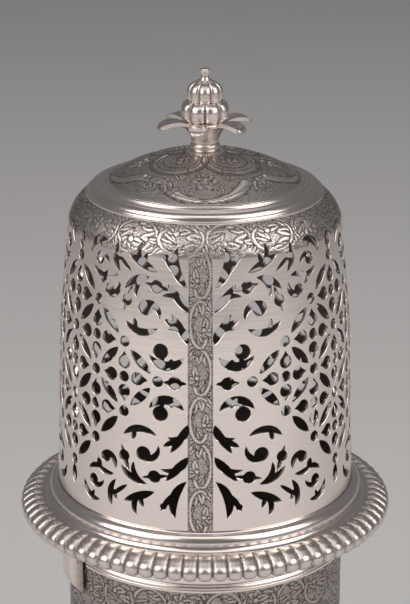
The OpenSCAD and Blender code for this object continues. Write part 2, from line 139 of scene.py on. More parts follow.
def place(angle, radius, height):
    """Points in the frame from angles in degrees, radii and heights."""
    turn = np.radians(angle)
    return np.stack(np.broadcast_arrays(radius * np.sin(turn), -radius * np.cos(turn), height), -1)


def quads(rows, columns, wrap):
    """Faces of a grid of points, row after row, closed round its columns where wrap is true."""
    first = np.arange(columns if wrap else columns - 1)
    after = (first + 1) % columns
    base = np.arange(rows - 1)[:, None] * columns
    faces = np.stack([base + first, base + after, base + columns + after, base + columns + first], -1)
    return faces.reshape(-1, 4).tolist()


def piece(name, points, faces, material, body, nodes, slot="polished_silver", matt=None,
          sharp=SHARP_EDGE, check=True):
    """A mesh in millimetres that rides on a body and stands for CAD nodes."""
    mesh = bpy.data.meshes.new(name)
    mesh.from_pydata((np.asarray(points) * MM).tolist(), [], faces)
    if check:
        face_outwards(mesh)
    mesh.shade_smooth()
    if sharp:
        mesh.set_sharp_from_angle(angle=math.radians(sharp))
    values = np.zeros(len(mesh.vertices), np.float32) if matt is None else np.asarray(matt, np.float32)
    mesh.attributes.new("matt", "FLOAT", "POINT").data.foreach_set("value", values)
    made = added(name, mesh)
    for each in material if isinstance(material, list) else [material]:
        mesh.materials.append(each)
    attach(made, body)
    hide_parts(*nodes)
    return made


def added(name, data):
    """A new object in the scene."""
    made = bpy.data.objects.new(name, data)
    bpy.context.scene.collection.objects.link(made)
    return made


def face_outwards(mesh):
    """Turns the faces of a closed mesh outwards."""
    work = bmesh.new()
    work.from_mesh(mesh)
    bmesh.ops.recalc_face_normals(work, faces=work.faces)
    work.to_mesh(mesh)
    work.free()


def ringed(angles, outlines, closed=True):
    """Points and faces of one outline of (radius, height) at each angle, closed round the axis or not."""
    points = place(angles[:, None], outlines[..., 0], outlines[..., 1]).reshape(-1, 3)
    strips = quads(len(angles) + closed, outlines.shape[1], True)
    return points, [[f % len(points) for f in face] for face in strips]


def turned(outline, start=0, end=360, steps=TURN_STEPS):
    """Points and faces of a closed outline turned about the axis, with capped ends if it is an arc."""
    whole = end - start >= 360
    angles = np.linspace(start, end, steps + 1)
    angles = angles[:-1] if whole else angles
    outline = np.array(outline, float)
    outline = outline if signed_area(outline) < 0 else outline[::-1]
    points, faces = ringed(angles, np.broadcast_to(outline, (len(angles), *outline.shape)), whole)
    if not whole:
        first, count = len(outline), len(points)
        faces += [list(range(first)), list(range(count - first, count))[::-1]]
    return points, faces


# Engraved ornament: a field says how far inside a leaf's edge each cell lies; the matted ground is 0

GROUND_MATT, OUTLINE_MATT, LEAF_MATT = 0.66, 1.4, 0.14
GROUND_DEPTH, GROUND_EDGE = 0.4, 0.04
OUTLINE_W, OUTLINE_START, OUTLINE_END = 0.3, 0.8, 1.6
LEAF_SWELL, FLANK_END = 0.15, 4
LOBE_START, LOBE_RUN, LOBE_POINTS, VEIN_W = 0.25, 0.73, 6, 0.3
STEM_R, STEM_GAIN, KNOB_R = 0.62, 1.15, 0.26
SCROLL_SIZE, SCROLL_W, SCROLL_H = 0.85, 0.235, 0.43
SCROLL_START, SCROLL_END, SCROLL_POINTS = -30, 300, 70
CURL, CURL_START, CURL_END = 0.62, 150, 300
SHIFT, SHIFT_START, SHIFT_END = 0.42, 140, 290
# Turn of the root on the scroll, heading, length, bend and thickness, the lengths in sizes of the scroll
CORNER_LEAVES = ((15, 55, 0.9, 60, 0.26), (38, 100, 0.8, 60, 0.24), (125, 60, 0.85, 80, 0.26),
                 (148, 110, 1.0, 70, 0.28), (168, 160, 0.8, 50, 0.24))
INNER_LEAVES = ((-25, -70, 1.0, -90, 0.3), (-12, -115, 1.3, -60, 0.34), (8, -150, 1.25, -40, 0.34),
                (35, -170, 1.2, -30, 0.32), (65, -172, 1.15, -30, 0.3), (95, -160, 0.9, -40, 0.26),
                (185, 12, 1.3, 20, 0.26), (215, 25, 1.25, 30, 0.28))
# Heading, length, bend and thickness of the leaves round the curl's knob
FLOWER_LEAVES = ((-150, 0.75, -60, 0.28), (-110, 0.85, -60, 0.3), (-65, 1.0, -50, 0.32),
                 (-25, 1.1, 40, 0.32))


def lay(field, step, spots):
    """Lays a leaf made of round spots (x, y, radius) over the ornament of a field that repeats along x."""
    own = np.zeros_like(field)
    for x, y, radius in spots:
        reach = int(radius / step) + 1
        column, row = int(round(x / step)), int(round(y / step))
        rows = np.arange(max(0, row - reach), min(field.shape[0], row + reach + 1))
        columns = np.arange(column - reach, column + reach + 1)
        away = np.hypot(columns[None] * step - x, rows[:, None] * step - y)
        patch = np.ix_(rows, columns % field.shape[1])
        own[patch] = np.maximum(own[patch], radius - away)
    field[own > 0] = own[own > 0]


def stroke(field, step, points, thick, thin):
    """Draws a stem that thins from its start to its end."""
    points = np.array(points, float)
    lengths = np.concatenate([[0], np.cumsum(np.hypot(*np.diff(points, axis=0).T))])
    along = np.linspace(0, lengths[-1], max(2, int(lengths[-1] / step)))
    x, y = (np.interp(along, lengths, points[:, k]) for k in (0, 1))
    lay(field, step, zip(x, y, thick + (thin - thick) * along / lengths[-1]))


def leaf(field, step, root, heading, length, bend, thick):
    """An acanthus lobe with a cut vein: it swells past its root and tapers to a curling tip."""
    t = np.linspace(0, 1, max(LOBE_POINTS, int(length / step)))
    line = leaf_curve(root, heading, length, bend, len(t))
    lay(field, step, zip(*line.T, thick * np.sin(np.pi * (LOBE_START + LOBE_RUN * t))))
    vein = slice(len(t) // 6, 2 * len(t) // 3)
    lay(field, step, zip(*line[vein].T, VEIN_W * thick * (1 - t[vein])))


def leaf_curve(root, heading, length, bend, steps):
    """Points of a leaf that leaves its root along a heading and bends as it grows."""
    t = np.linspace(0, 1, steps)
    turn = np.radians(heading + bend * t)
    way = np.cumsum(np.stack([np.cos(turn), np.sin(turn)], 1), 0) * length / steps
    return np.array(root) + way


def scroll_line(middle, half, side, turns):
    """Points of a C-shaped scroll at turns in degrees: it bulges to one side and curls in at its end."""
    curl = 1 - CURL * ease(turns, CURL_START, CURL_END)
    shift = SHIFT * ease(turns, SHIFT_START, SHIFT_END)
    turn = np.radians(turns)
    return np.stack([middle[0] + half[0] * (np.cos(turn) * curl - shift),
                     middle[1] + side * half[1] * np.sin(turn) * curl], 1)


def c_scroll(field, step, middle, half, side):
    """A C-shaped scroll with acanthus lobes inside and outside and a flower on its curl."""
    size = SCROLL_SIZE * math.sqrt(half[0] * half[1])
    for turn, heading, length, bend, thick in CORNER_LEAVES + INNER_LEAVES:
        root = scroll_line(middle, half, side, np.array([turn]))[0]
        leaf(field, step, root, side * heading, length * size, side * bend, thick * size)
    line = scroll_line(middle, half, side, np.linspace(SCROLL_START, SCROLL_END, SCROLL_POINTS))
    stroke(field, step, line, STEM_R, STEM_GAIN * STEM_R)
    for heading, length, bend, thick in FLOWER_LEAVES:
        leaf(field, step, line[-1], side * heading, length * size, side * bend, thick * size)
    lay(field, step, [(*line[-1], KNOB_R * size)])


def running_scroll(period, height, step):
    """Field of one wave of leafy scrolls that bulge to either side in turn."""
    field = np.zeros((int(height / step) + 1, int(round(period / step))))
    half = (SCROLL_W * period, SCROLL_H * height)
    for part, side in ((0.25, 1), (0.75, -1)):
        c_scroll(field, step, (part * period, height / 2), half, side)
    return field


def carved(field, line=OUTLINE_W, swell=LEAF_SWELL):
    """How matted and how deep an engraved surface is: stippled ground, cut outlines, swelling leaves."""
    leafy = ease(field, 0.0, GROUND_EDGE)
    outline = leafy * (1 - ease(field, OUTLINE_START * line, OUTLINE_END * line))
    flank = swell * (1 - ease(field, line, FLANK_END * line))
    matt = np.maximum(np.maximum(GROUND_MATT * (1 - leafy), OUTLINE_MATT * outline), LEAF_MATT)
    return matt, np.maximum(np.maximum(GROUND_DEPTH * (1 - leafy), outline), flank)


def sample(field, step, x, y):
    """Values of a field between its cells; it repeats along x and is 0 above and below."""
    column, row = np.asarray(x) / step, np.asarray(y) / step
    c0, r0 = np.floor(column).astype(int), np.floor(row).astype(int)
    u, v = column - c0, row - r0
    rows, columns = field.shape

    def cell(r, c):
        inside = (r >= 0) & (r < rows)
        return np.where(inside, field[np.clip(r, 0, rows - 1), c % columns], 0)
    lower = cell(r0, c0) * (1 - u) + cell(r0, c0 + 1) * u
    upper = cell(r0 + 1, c0) * (1 - u) + cell(r0 + 1, c0 + 1) * u
    return lower * (1 - v) + upper * v


# Pierced drum, drawn flat: x along the wall from an engraved band's line, v up the wall from its middle

PANELS = 3
PANEL_TURN = 360 / PANELS
DRAW_R = 35.2
MM_PER_DEGREE = DRAW_R * math.pi / 180
PANEL_W = PANEL_TURN * MM_PER_DEGREE
CENTRE_X = PANEL_W / 2
MID_RISE = 43
MID_Z = EDGE_Z + MID_RISE
BEVEL, BEVEL_LEAST = 0.07, 0.5
KERF = 0.17
TILT_LOW, TILT_HIGH, TILT_CROWN = 1.71, 6.0, 60.0
WAIST_V, WAIST_BLEND = 7.0, 9.0
SHOULDER_V, SHOULDER_R = 29.2, 9.3
HAND_SHIFT, HAND_REACH = 2.2, 32.0
LOWER_STRETCH = 1.05
MESHES, MESH_TURN, MESH_RISE = 3, 14, 8.5
MESH_X = MESH_TURN * MM_PER_DEGREE
LATTICE_DOT = 1.2
SLOT_PART, SLOT_W = 0.29, 1.05
END_SLOT_V, END_SLOT_HALF, END_SLOT_W = 29.2, 2.3, 1.1
DROP_V, DROP_R, DROP_NECK, DROP_HALF, DROP_TIP = 3.55, 1.5, 4.3, 1.2, 6.1
ENGRAVE_STEP, ENGRAVE_DEPTH = 0.06, 0.16
BAND_LEFT, BAND_RIGHT, BAND_FOOT_V = -4.0, 1.9, -37.0
BAND_WAVE, BAND_MARGIN, BAND_START = 23.0, 0.1, 3.0
DOT_STEP, DOT_R = BAND_WAVE / 36, 0.2
FRIEZE_V, FRIEZE_H, FRIEZE_WAVES = 30.6, 9.2, 3
FRIEZE_WAVE = PANEL_W / FRIEZE_WAVES
BRACKET_RISE, BRACKET_W, PEAK_HALF = 1.2, 6.4, 4.6
BAND_EDGE, FRIEZE_EDGE = 0.2, 0.3
RULE_V, RULE_START, RULE_END = 0.35, 0.1, 0.3
PLAIN_STEP, BAND_STEP, FRIEZE_STEP = 1.5, 0.16, 0.2


def wall_line():
    """Places up the drum's wall: the length v, radius, height and tilt at close steps."""
    step = 0.05
    bend = math.radians(TILT_CROWN - TILT_HIGH) * SHOULDER_R
    v = np.arange(LEDGE_Z - MID_Z, SHOULDER_V + bend + step / 2, step)
    tilt = TILT_LOW + (TILT_HIGH - TILT_LOW) * ease(v, WAIST_V - WAIST_BLEND, WAIST_V + WAIST_BLEND)
    tilt = np.radians(tilt + np.degrees(np.clip(v - SHOULDER_V, 0, bend) / SHOULDER_R))
    radius = DRUM_R - np.concatenate([[0], np.cumsum(np.sin(tilt[:-1]) * step)])
    height = LEDGE_Z + np.concatenate([[0], np.cumsum(np.cos(tilt[:-1]) * step)])
    return v, radius, height, tilt


WALL_V, WALL_R, WALL_Z, WALL_TILT = wall_line()
TOP_V = WALL_V[-1]


def opening(*shapes):
    """Shapes that are sawn as one opening, round the middle of their box."""
    every = np.concatenate(shapes)
    return (every.min(0) + every.max(0)) / 2, shapes


def scroll_openings():
    """Openings of a quarter panel, above the middle and right of the band."""
    return [
        opening(blade((4.2, 22.7), (6.8, 32.0), -0.6, -2.6), blade((5.1, 25.0), (10.2, 30.4), 0.1, -1.2),
                dot((9.6, 29.4), 0.7)),
        opening(blade((19.4, 29.3), (11.8, 25.9), 1.0, -0.9), blade((16.2, 32.3), (15.4, 27.0), 1.6, 0.35),
                blade((14.5, 30.1), (15.6, 27.2), 0.5, -0.5)),
        opening(blade((22.9, 31.6), (21.9, 24.8), 1.8, 0.35), blade((23.2, 29.0), (18.7, 25.4), 0.5, -0.4),
                blade((21.6, 29.6), (22.7, 27.2), 0.45, -0.45)),
        opening(blade((32.2, 27.4), (26.8, 31.1), -0.9, -2.4),
                blade((28.6, 29.4), (29.8, 31.5), 0.45, -0.45)),
        opening(blade((3.8, 16.9), (8.9, 23.2), 0.9, -0.9), blade((3.8, 16.9), (10.3, 20.4), 2.4, 1.1),
                dot((11.8, 22.5), 1.45), blade((14.8, 23.1), (8.2, 21.9), 0.45, -0.45)),
        opening(blade((13.65, 24.5), (20.3, 21.1), 1.6, 0.1), blade((13.65, 24.5), (16.9, 19.6), 2.2, 0.9),
                dot((19.5, 18.5), 1.3), blade((20.3, 15.9), (18.2, 22.0), 0.5, -0.5)),
        opening(dot((14.5, 17.3), 1.7), blade((16.1, 17.6), (10.8, 14.9), -1.5, -2.85)),
        opening(blade((19.7, 13.6), (11.3, 12.7), 2.5, 0.9), blade((17.3, 14.4), (16.6, 12.0), 0.5, -0.5)),
        opening(blade((4.05, 9.4), (7.9, 16.4), 1.1, -0.5), blade((4.05, 9.4), (8.6, 12.7), 2.6, 1.2),
                blade((9.6, 15.0), (6.0, 13.2), 0.6, -0.6)),
        opening(dot((10.4, 7.4), 1.75), blade((13.05, 6.3), (4.9, 6.3), 3.4, 1.3),
                blade((7.7, 5.7), (8.2, 3.6), 0.6, -0.6), blade((10.2, 7.4), (10.0, 4.0), 0.5, -0.5)),
        opening(dot((28.8, 26.6), 1.3), blade((30.1, 27.0), (25.5, 26.0), -0.8, -1.85)),
        opening(blade((30.6, 24.5), (25.8, 23.2), 1.3, 0.2),
                blade((27.9, 22.3), (22.5, 23.7), -0.15, -1.3),
                blade((27.3, 21.0), (26.6, 23.4), 0.75, -0.75)),
        opening(dot((24.9, 20.0), 1.3), blade((26.2, 19.6), (22.0, 22.3), 2.6, 1.2)),
    ]


def bead():
    """Pointed bead on the middle line."""
    return opening(dot((7.0, 0.0), 1.5), blade((9.7, 0.0), (4.2, 0.0), 0.65, -0.65))


def drop(x, v, way):
    """Drop of a quatrefoil, pointing away from its middle."""
    way = np.array(way, float)
    side = DROP_HALF * np.array([-way[1], way[0]])
    middle = np.array([x, v])
    neck = middle + DROP_NECK * way
    tip = np.array([neck + side, middle + DROP_TIP * way, neck - side])
    return [dot(middle + DROP_V * way, DROP_R), tip]


def mesh_places(count):
    """Crossings of a lattice set on its corner: their numbers along both of its ways, and their places."""
    for i, j in np.ndindex(count, count):
        yield i, j, CENTRE_X + (i - j) * MESH_X, (i + j - count + 1) * MESH_RISE


def lattice_openings():
    """Dots, quatrefoils and pointed slots of a panel's lattice."""
    found = []
    for i, j, x, v in mesh_places(MESHES + 1):
        found.append([dot((x, v), LATTICE_DOT)])
        for run in [MESH_X] * (i < MESHES) + [-MESH_X] * (j < MESHES):
            middle = np.array([x + run / 2, v + MESH_RISE / 2])
            half = SLOT_PART * np.array([run, MESH_RISE])
            found.append([blade(middle - half, middle + half, SLOT_W, -SLOT_W)])
    for _, _, x, v in mesh_places(MESHES):
        found.append([dot((x, v), LATTICE_DOT)])
        found += [drop(x, v, way) for way in ((1, 0), (-1, 0), (0, 1), (0, -1))]
    for v in (END_SLOT_V, -END_SLOT_V):
        ends = (CENTRE_X, v - END_SLOT_HALF), (CENTRE_X, v + END_SLOT_HALF)
        found.append([blade(*ends, END_SLOT_W, -END_SLOT_W)])
    return found


def panel_openings():
    """All openings of one panel, each a list of polygons."""
    found = lattice_openings()
    quarter = scroll_openings()
    for shift, mirrored in ((HAND_SHIFT, False), (0, True)):
        for below in (False, True):
            for middle, shapes in quarter + ([] if below else [bead()]):
                drift = shift * max(0, 1 - middle[0] / HAND_REACH)
                rise = -LOWER_STRETCH * middle[1] if below else middle[1]
                placed = []
                for shape in shapes:
                    away = shape - middle
                    x = middle[0] - drift + away[:, 0]
                    v = rise + (-away[:, 1] if below else away[:, 1])
                    placed.append(np.stack([PANEL_W - x if mirrored else x, v], 1))
                found.append(placed)
    return found


def grid_points(across, up):
    """Flat points at every pairing of places across and up."""
    x, v = np.meshgrid(across, up)
    return np.stack([x.ravel(), v.ravel()], 1)


def panel_points():
    """Plain and engraved points of a panel, kept off its outer edges."""
    side_gap, foot_gap, head_gap, edge_gap = 0.5, 1, 0.4, 0.1
    band_over, plain_gap = 0.4, 0.6
    plain_top, band_top, frieze_low = FRIEZE_V - 1.6, FRIEZE_V - 1.5, FRIEZE_V - 1.4
    plain = grid_points(np.arange(PLAIN_STEP, PANEL_W - side_gap, PLAIN_STEP),
                        np.arange(WALL_V[0] + foot_gap, TOP_V - head_gap, PLAIN_STEP))
    right = np.arange(BAND_STEP, BAND_RIGHT + band_over, BAND_STEP)
    left = np.arange(PANEL_W + BAND_LEFT - band_over, PANEL_W - edge_gap, BAND_STEP)
    rows = np.arange(BAND_FOOT_V - band_over, band_top, BAND_STEP)
    band = grid_points(np.concatenate([right, left]), rows)
    frieze = grid_points(np.arange(FRIEZE_STEP, PANEL_W - edge_gap, FRIEZE_STEP),
                         np.arange(frieze_low, TOP_V - edge_gap, FRIEZE_STEP))
    x, v = plain.T
    in_band = (x < BAND_RIGHT + plain_gap) | (x > PANEL_W + BAND_LEFT - plain_gap)
    in_band &= v > BAND_FOOT_V - plain_gap
    plain = plain[~in_band & (v < plain_top)]
    return np.concatenate([plain, band, frieze])


def border_points():
    """Corner-to-corner points of a panel's outer edges, in order, with equal heights on both sides."""
    bottom, top = WALL_V[0], TOP_V
    plain_step, engraved_step, head_gap, count = 0.3, 0.2, 0.15, 240
    sides = np.concatenate([[bottom], np.arange(bottom + 2 * plain_step, BAND_FOOT_V, plain_step),
                            np.arange(BAND_FOOT_V, top - head_gap, engraved_step)])
    across = np.linspace(0, PANEL_W, count, endpoint=False)
    return np.concatenate([
        np.stack([across, np.full_like(across, bottom)], 1),
        np.stack([np.full_like(sides, PANEL_W), sides], 1),
        np.stack([PANEL_W - across, np.full_like(across, top)], 1),
        np.stack([np.zeros(len(sides)), np.append(top, sides[:0:-1])], 1)])


def grown(shape, width):
    """An anticlockwise outline pushed outwards."""
    way = np.roll(shape, -1, 0) - np.roll(shape, 1, 0)
    out = np.stack([way[:, 1], -way[:, 0]], 1) / np.maximum(np.hypot(*way.T), TINY)[:, None]
    return shape + width * out


def flat_panel():
    """Points and triangles of one sawn panel, in the flat."""
    border = border_points()
    points = [border]
    polygons = []
    count = len(border)
    for shapes in panel_openings():
        for shape in shapes:
            polygons.append(list(range(count, count + len(shape))))
            points.append(grown(shape if signed_area(shape) > 0 else shape[::-1], KERF))
            count += len(shape)
    points.append(panel_points())
    edges = [(k, (k + 1) % len(border)) for k in range(len(border))]
    flat = [tuple(p) for p in np.concatenate(points)]
    out, _, faces, _, _, inside = delaunay_2d_cdt(flat, edges, polygons, 0, TINY)
    kept = [face for face, holes in zip(faces, inside) if not holes]
    return np.array([tuple(p) for p in out]), np.array(kept)


def band_field():
    """Field of one wave of the scroll that climbs an engraved band, with punched dots along its edges."""
    width = BAND_RIGHT - BAND_LEFT - 2 * BAND_MARGIN
    field = running_scroll(BAND_WAVE, width, ENGRAVE_STEP)
    for x in np.arange(0, BAND_WAVE, DOT_STEP):
        lay(field, ENGRAVE_STEP, [(x, DOT_R, DOT_R)])
        lay(field, ENGRAVE_STEP, [(x, width - DOT_R, DOT_R)])
    return field


def engraving(x, v, band, frieze):
    """How matted and how deep the drum's surface is at flat points; both are 0 on plain polish."""
    from_line = np.where(x > CENTRE_X, x - PANEL_W, x)
    inner = from_line - BAND_LEFT
    width = BAND_RIGHT - BAND_LEFT
    in_band = ease(inner, 0, BAND_EDGE) * (1 - ease(inner, width - BAND_EDGE, width))
    in_band = in_band * ease(v, BAND_FOOT_V, BAND_FOOT_V + FRIEZE_EDGE)
    edge = frieze_edge(from_line)
    above = ease(v, edge, edge + FRIEZE_EDGE)
    in_band = in_band * (1 - above)
    band_matt, band_deep = carved(sample(band, ENGRAVE_STEP, v + BAND_START, inner - BAND_MARGIN))
    frieze_matt, frieze_deep = carved(sample(frieze, ENGRAVE_STEP, from_line, v - FRIEZE_V + BRACKET_RISE))
    rule = (1 - ease(np.abs(v - edge - RULE_V), RULE_START, RULE_END)) * (v > edge)
    return (in_band * band_matt + above * frieze_matt * (1 - rule),
            in_band * band_deep + above * frieze_deep * (1 - rule))


def frieze_edge(from_line):
    """Lower edge of the frieze: a peak over each band and waves between."""
    near = np.abs(from_line)
    waves = np.abs(np.sin(np.pi * (near - PEAK_HALF) / BRACKET_W))
    return FRIEZE_V - BRACKET_RISE * np.where(near < PEAK_HALF, near / PEAK_HALF, waves)


def hole_rims(points, triangles):
    """Directed edges round the openings, sheet on their left, and each point's way into its opening."""
    sides = np.concatenate([triangles[:, [0, 1]], triangles[:, [1, 2]], triangles[:, [2, 0]]])
    seen = {(a, b) for a, b in sides.tolist()}
    rims = [(a, b) for a, b in seen if (b, a) not in seen]
    on_edge = (points[:, 0] < TINY) | (points[:, 0] > PANEL_W - TINY)
    on_edge |= (points[:, 1] < WALL_V[0] + TINY) | (points[:, 1] > TOP_V - TINY)
    rims = np.array([(a, b) for a, b in rims if not (on_edge[a] and on_edge[b])])
    way = points[rims[:, 1]] - points[rims[:, 0]]
    out = np.stack([way[:, 1], -way[:, 0]], 1) / np.hypot(*way.T)[:, None]
    into = np.zeros_like(points)
    np.add.at(into, rims[:, 0], out)
    np.add.at(into, rims[:, 1], out)
    into /= np.maximum(np.hypot(*into.T), BEVEL_LEAST)[:, None]
    return rims, into


def on_wall(flat, depth):
    """Places and normals in the frame of flat points, pushed into the wall by a depth."""
    radius = np.interp(flat[:, 1], WALL_V, WALL_R)
    height = np.interp(flat[:, 1], WALL_V, WALL_Z)
    tilt = np.interp(flat[:, 1], WALL_V, WALL_TILT)
    angle = flat[:, 0] / MM_PER_DEGREE
    spots = place(angle, radius - depth * np.cos(tilt), height - depth * np.sin(tilt))
    normals = place(angle, np.cos(tilt), np.sin(tilt))
    return spots, normals


def corner_normals(spots, triangles):
    """Smooth normals of a triangle mesh at its points."""
    a, b, c = (spots[triangles[:, k]] for k in range(3))
    flat = np.cross(b - a, c - a)
    total = np.zeros_like(spots)
    for k in range(3):
        np.add.at(total, triangles[:, k], flat)
    return unit(total)


def unit(vectors):
    """Vectors made one long."""
    return vectors / np.maximum(np.linalg.norm(vectors, axis=1), LEAST_LENGTH)[:, None]


def turn_about(points, angle):
    """Points turned about the axis by an angle in degrees."""
    c, s = math.cos(math.radians(angle)), math.sin(math.radians(angle))
    return points @ np.array([[c, s, 0], [-s, c, 0], [0, 0, 1]])


def panel_mesh():
    """A panel on the wall: flat points, points in the frame, triangles, narrow faces, matt, both normals."""
    flat, triangles = flat_panel()
    a, b, c = (flat[triangles[:, k]] for k in range(3))
    turned_over = np.cross(b - a, c - a) < 0
    triangles[turned_over] = triangles[turned_over][:, ::-1]
    used, fresh = np.unique(triangles, return_inverse=True)
    flat, triangles = flat[used], fresh.reshape(triangles.shape)
    frieze = running_scroll(FRIEZE_WAVE, FRIEZE_H, ENGRAVE_STEP)
    matt, deep = engraving(flat[:, 0], flat[:, 1], band_field(), frieze)
    outer, smooth = on_wall(flat, ENGRAVE_DEPTH * deep)
    inner, _ = on_wall(flat, DRUM_SHEET)
    near = np.zeros(len(flat), bool)
    near[triangles[np.any(matt[triangles] > 0, 1)]] = True
    normals = np.where(near[:, None], corner_normals(outer, triangles), smooth)
    rims, into = hole_rims(flat, triangles)
    rim_points = np.unique(rims)
    sunk = flat[rim_points] + BEVEL * into[rim_points]
    lip, _ = on_wall(sunk, BEVEL)
    sill, _ = on_wall(sunk, DRUM_SHEET - BEVEL)
    count, extra = len(flat), len(rim_points)
    p, q = rims.T
    lip_p, lip_q = 2 * count + np.searchsorted(rim_points, rims.T)
    sill_p, sill_q = lip_p + extra, lip_q + extra
    narrow = [np.stack(corners, 1) for corners in (
        (q, p, lip_p, lip_q), (lip_q, lip_p, sill_p, sill_q), (sill_q, sill_p, count + p, count + q))]
    for edge_v, way in ((WALL_V[0], 1), (TOP_V, -1)):
        row = np.flatnonzero(np.abs(flat[:, 1] - edge_v) < TINY)
        row = row[np.argsort(flat[row, 0])]
        strip = np.stack([row[1:], row[:-1], count + row[:-1], count + row[1:]], 1)
        narrow.append(strip[:, ::way])
    spots = np.concatenate([outer, inner, lip, sill])
    return flat, spots, triangles, np.concatenate(narrow), matt, normals, smooth


def drum(silver_metal, shaded_inner_metal):
    """The pierced drum: three sawn panels joined round the axis."""
    flat, spots, triangles, narrow, matt, normals, smooth = panel_mesh()
    count, total = len(flat), len(spots)
    sides = flat[:, 0] < TINY, flat[:, 0] > PANEL_W - TINY
    left, right = (side[np.argsort(flat[side, 1])] for side in map(np.flatnonzero, sides))
    meeting = unit(normals[left] + turn_about(normals[right], -PANEL_TURN))
    normals[left], normals[right] = meeting, turn_about(meeting, PANEL_TURN)
    keep = np.ones(total, bool)
    keep[right] = keep[count + right] = False
    numbers = np.zeros((PANELS, total), int)
    numbers[:, keep] = np.arange(PANELS * keep.sum()).reshape(PANELS, -1)
    for side in (0, count):
        numbers[:, side + right] = np.roll(numbers[:, side + left], -1, 0)
    under = triangles[:, ::-1]
    a, b, c, d = (spots[narrow[:, k]] for k in range(4))
    across = np.repeat(unit(np.cross(c - a, d - b)), 4, 0)
    corners = np.concatenate([normals[triangles].reshape(-1, 3), -smooth[under].reshape(-1, 3), across])
    points, faces, all_corners = [], [], []
    for k in range(PANELS):
        points.append(turn_about(spots[keep], k * PANEL_TURN))
        all_corners.append(turn_about(corners, k * PANEL_TURN))
        for part in (triangles, count + under, narrow):
            faces += numbers[k][part].tolist()
    # Inner faces take the second, dark metal: painted shade inside the cover
    metals = ([0] * len(triangles) + [1] * len(triangles) + [0] * len(narrow)) * PANELS
    values = np.zeros(total)
    values[:count] = matt
    made = piece("drum", np.concatenate(points), faces, [silver_metal, shaded_inner_metal], "cover",
                 ["pierced_drum"], matt=np.tile(values[keep], PANELS), sharp=None, check=False)
    made.data.polygons.foreach_set("material_index", metals)
    made.data.normals_split_custom_set(np.concatenate(all_corners).tolist())


# Cast gadroons

LOBE_STEPS = 18
EDGE_INSET = 0.02
COVER_LOBES, FOOT_LOBES = 80, 78
BULB_R, BULB_RISE, BULB_TOP, BULB_END, BULB_STEPS = 2.2, 0.95, 62, -75, 13
CREST_IN, SLOPE_SWELL, SLOPE_STEPS = 0.75, 0.65, 8
GROOVE_DEPTH, GROOVE_GAIN, GROOVE_RUN, GROOVE_POWER = 0.6, 0.6, 0.3, 2.6
# Power that narrows the painted groove shade into the bottoms of the grooves
GROOVE_SHADE_POWER = 1.3
BACK_DROP, BACK_IN = 0.3, 0.35
GADROON_IN = {"gadroon_border": DRUM_R + 3.7, "foot_gadroon": FOOT_R - 5.75}


def gadroon_line(inner_r, outer_r, low_z, high_z):
    """Points of a gadroon's section from its inner top, over the outer bulb, to its underside."""
    top = (inner_r + CREST_IN, high_z)
    bulb_c = (outer_r - BULB_R, low_z + BULB_RISE * BULB_R)
    shoulder = arc(bulb_c, BULB_R, BULB_TOP, BULB_END, BULB_STEPS)
    slope = [(top[0] + (shoulder[0][0] - top[0]) * t,
              top[1] + (shoulder[0][1] - top[1]) * t + SLOPE_SWELL * math.sin(math.pi * t))
             for t in np.linspace(0, 1, SLOPE_STEPS + 1)[:-1]]
    return np.array(slope + shoulder)


def lobed(lobes, power):
    """Angles round a row of lobes, and how far the surface sinks there: 0 on a lobe, 1 in a groove."""
    columns = np.arange(lobes * LOBE_STEPS)
    across = 2 * ((columns / LOBE_STEPS + 0.5) % 1) - 1
    groove = 1 - np.sqrt(np.clip(1 - np.abs(across) ** power, 0, 1))
    return columns * 360 / len(columns), groove


def gadroons(name, lobes, node, metal, body):
    """A ring of rounded lobes parted by deep grooves, swollen at their outer ends."""
    outer_r, inner_r = high(node, X) - EDGE_INSET, GADROON_IN[node]
    low_z, high_z = span(node, Z)
    line = gadroon_line(inner_r, outer_r, low_z, high_z)
    way = np.gradient(line, axis=0)
    normal = np.stack([-way[:, 1], way[:, 0]], 1) / np.hypot(*way.T)[:, None]
    normal *= np.sign(normal[0, 1])
    along = np.linspace(0, 1, len(line))
    deep = GROOVE_DEPTH + GROOVE_GAIN * ease(along, 0.0, GROOVE_RUN)
    angles, groove = lobed(lobes, GROOVE_POWER)
    sunk = line[None] - (deep[None] * groove[:, None])[..., None] * normal[None]
    sunk[..., 1] = np.maximum(sunk[..., 1], low_z)
    back = np.array([(inner_r, low_z), (inner_r, high_z - BACK_DROP), (inner_r + BACK_IN, high_z)])
    ring = np.concatenate([sunk, np.broadcast_to(back, (len(angles), *back.shape))], 1)
    groove_shade = np.zeros(ring.shape[:2])
    # Grooves darkened towards tarnish: painted shade between the lobes, with some tarnish
    groove_shade[:, :len(line)] = OUTLINE_MATT * groove[:, None] ** GROOVE_SHADE_POWER
    piece(name, *ringed(angles, ring), metal, body, [node], matt=groove_shade.ravel(), sharp=None)


# Turned mouldings, as outlines of (radius, height)

PEG_HOLE = 1.25
# Inset from the widest radius, at parts of the height
COLLAR_SHAPE = ((0.4, 0), (0.1, 0.12), (0, 0.32), (0, 0.6), (0.15, 0.76), (0.4, 0.92), (0.6, 1))


def base_moulding_outline():
    """Shelf under the gadroons, cove, swelling bead and thin lip against the drum."""
    bore, lip, top = DRUM_R - 1.7, DRUM_R + 0.06, EDGE_Z + 6.4
    inner, under = DRUM_R + 3.65, EDGE_Z - 2.52
    shelf = inner + 2.2
    cove = arc((inner + GAP, EDGE_Z + 3.75), 1.55, -95, -170, 8)
    swell_r, swell_z, swell_w, swell_h = DRUM_R + 0.35, EDGE_Z + 3.9, 1.85, 2.3
    swell = [(swell_r + swell_w * math.sin(t), swell_z + swell_h * math.cos(t))
             for t in np.linspace(1.75, 0.2, 14)]
    return [(bore, SEAT_Z), (shelf, SEAT_Z), (shelf, under), (inner, under), (inner, EDGE_Z + 2.2),
            *cove, *swell, (DRUM_R + 0.5, top), (lip, top), (lip, LEDGE_Z), (bore, LEDGE_Z)]


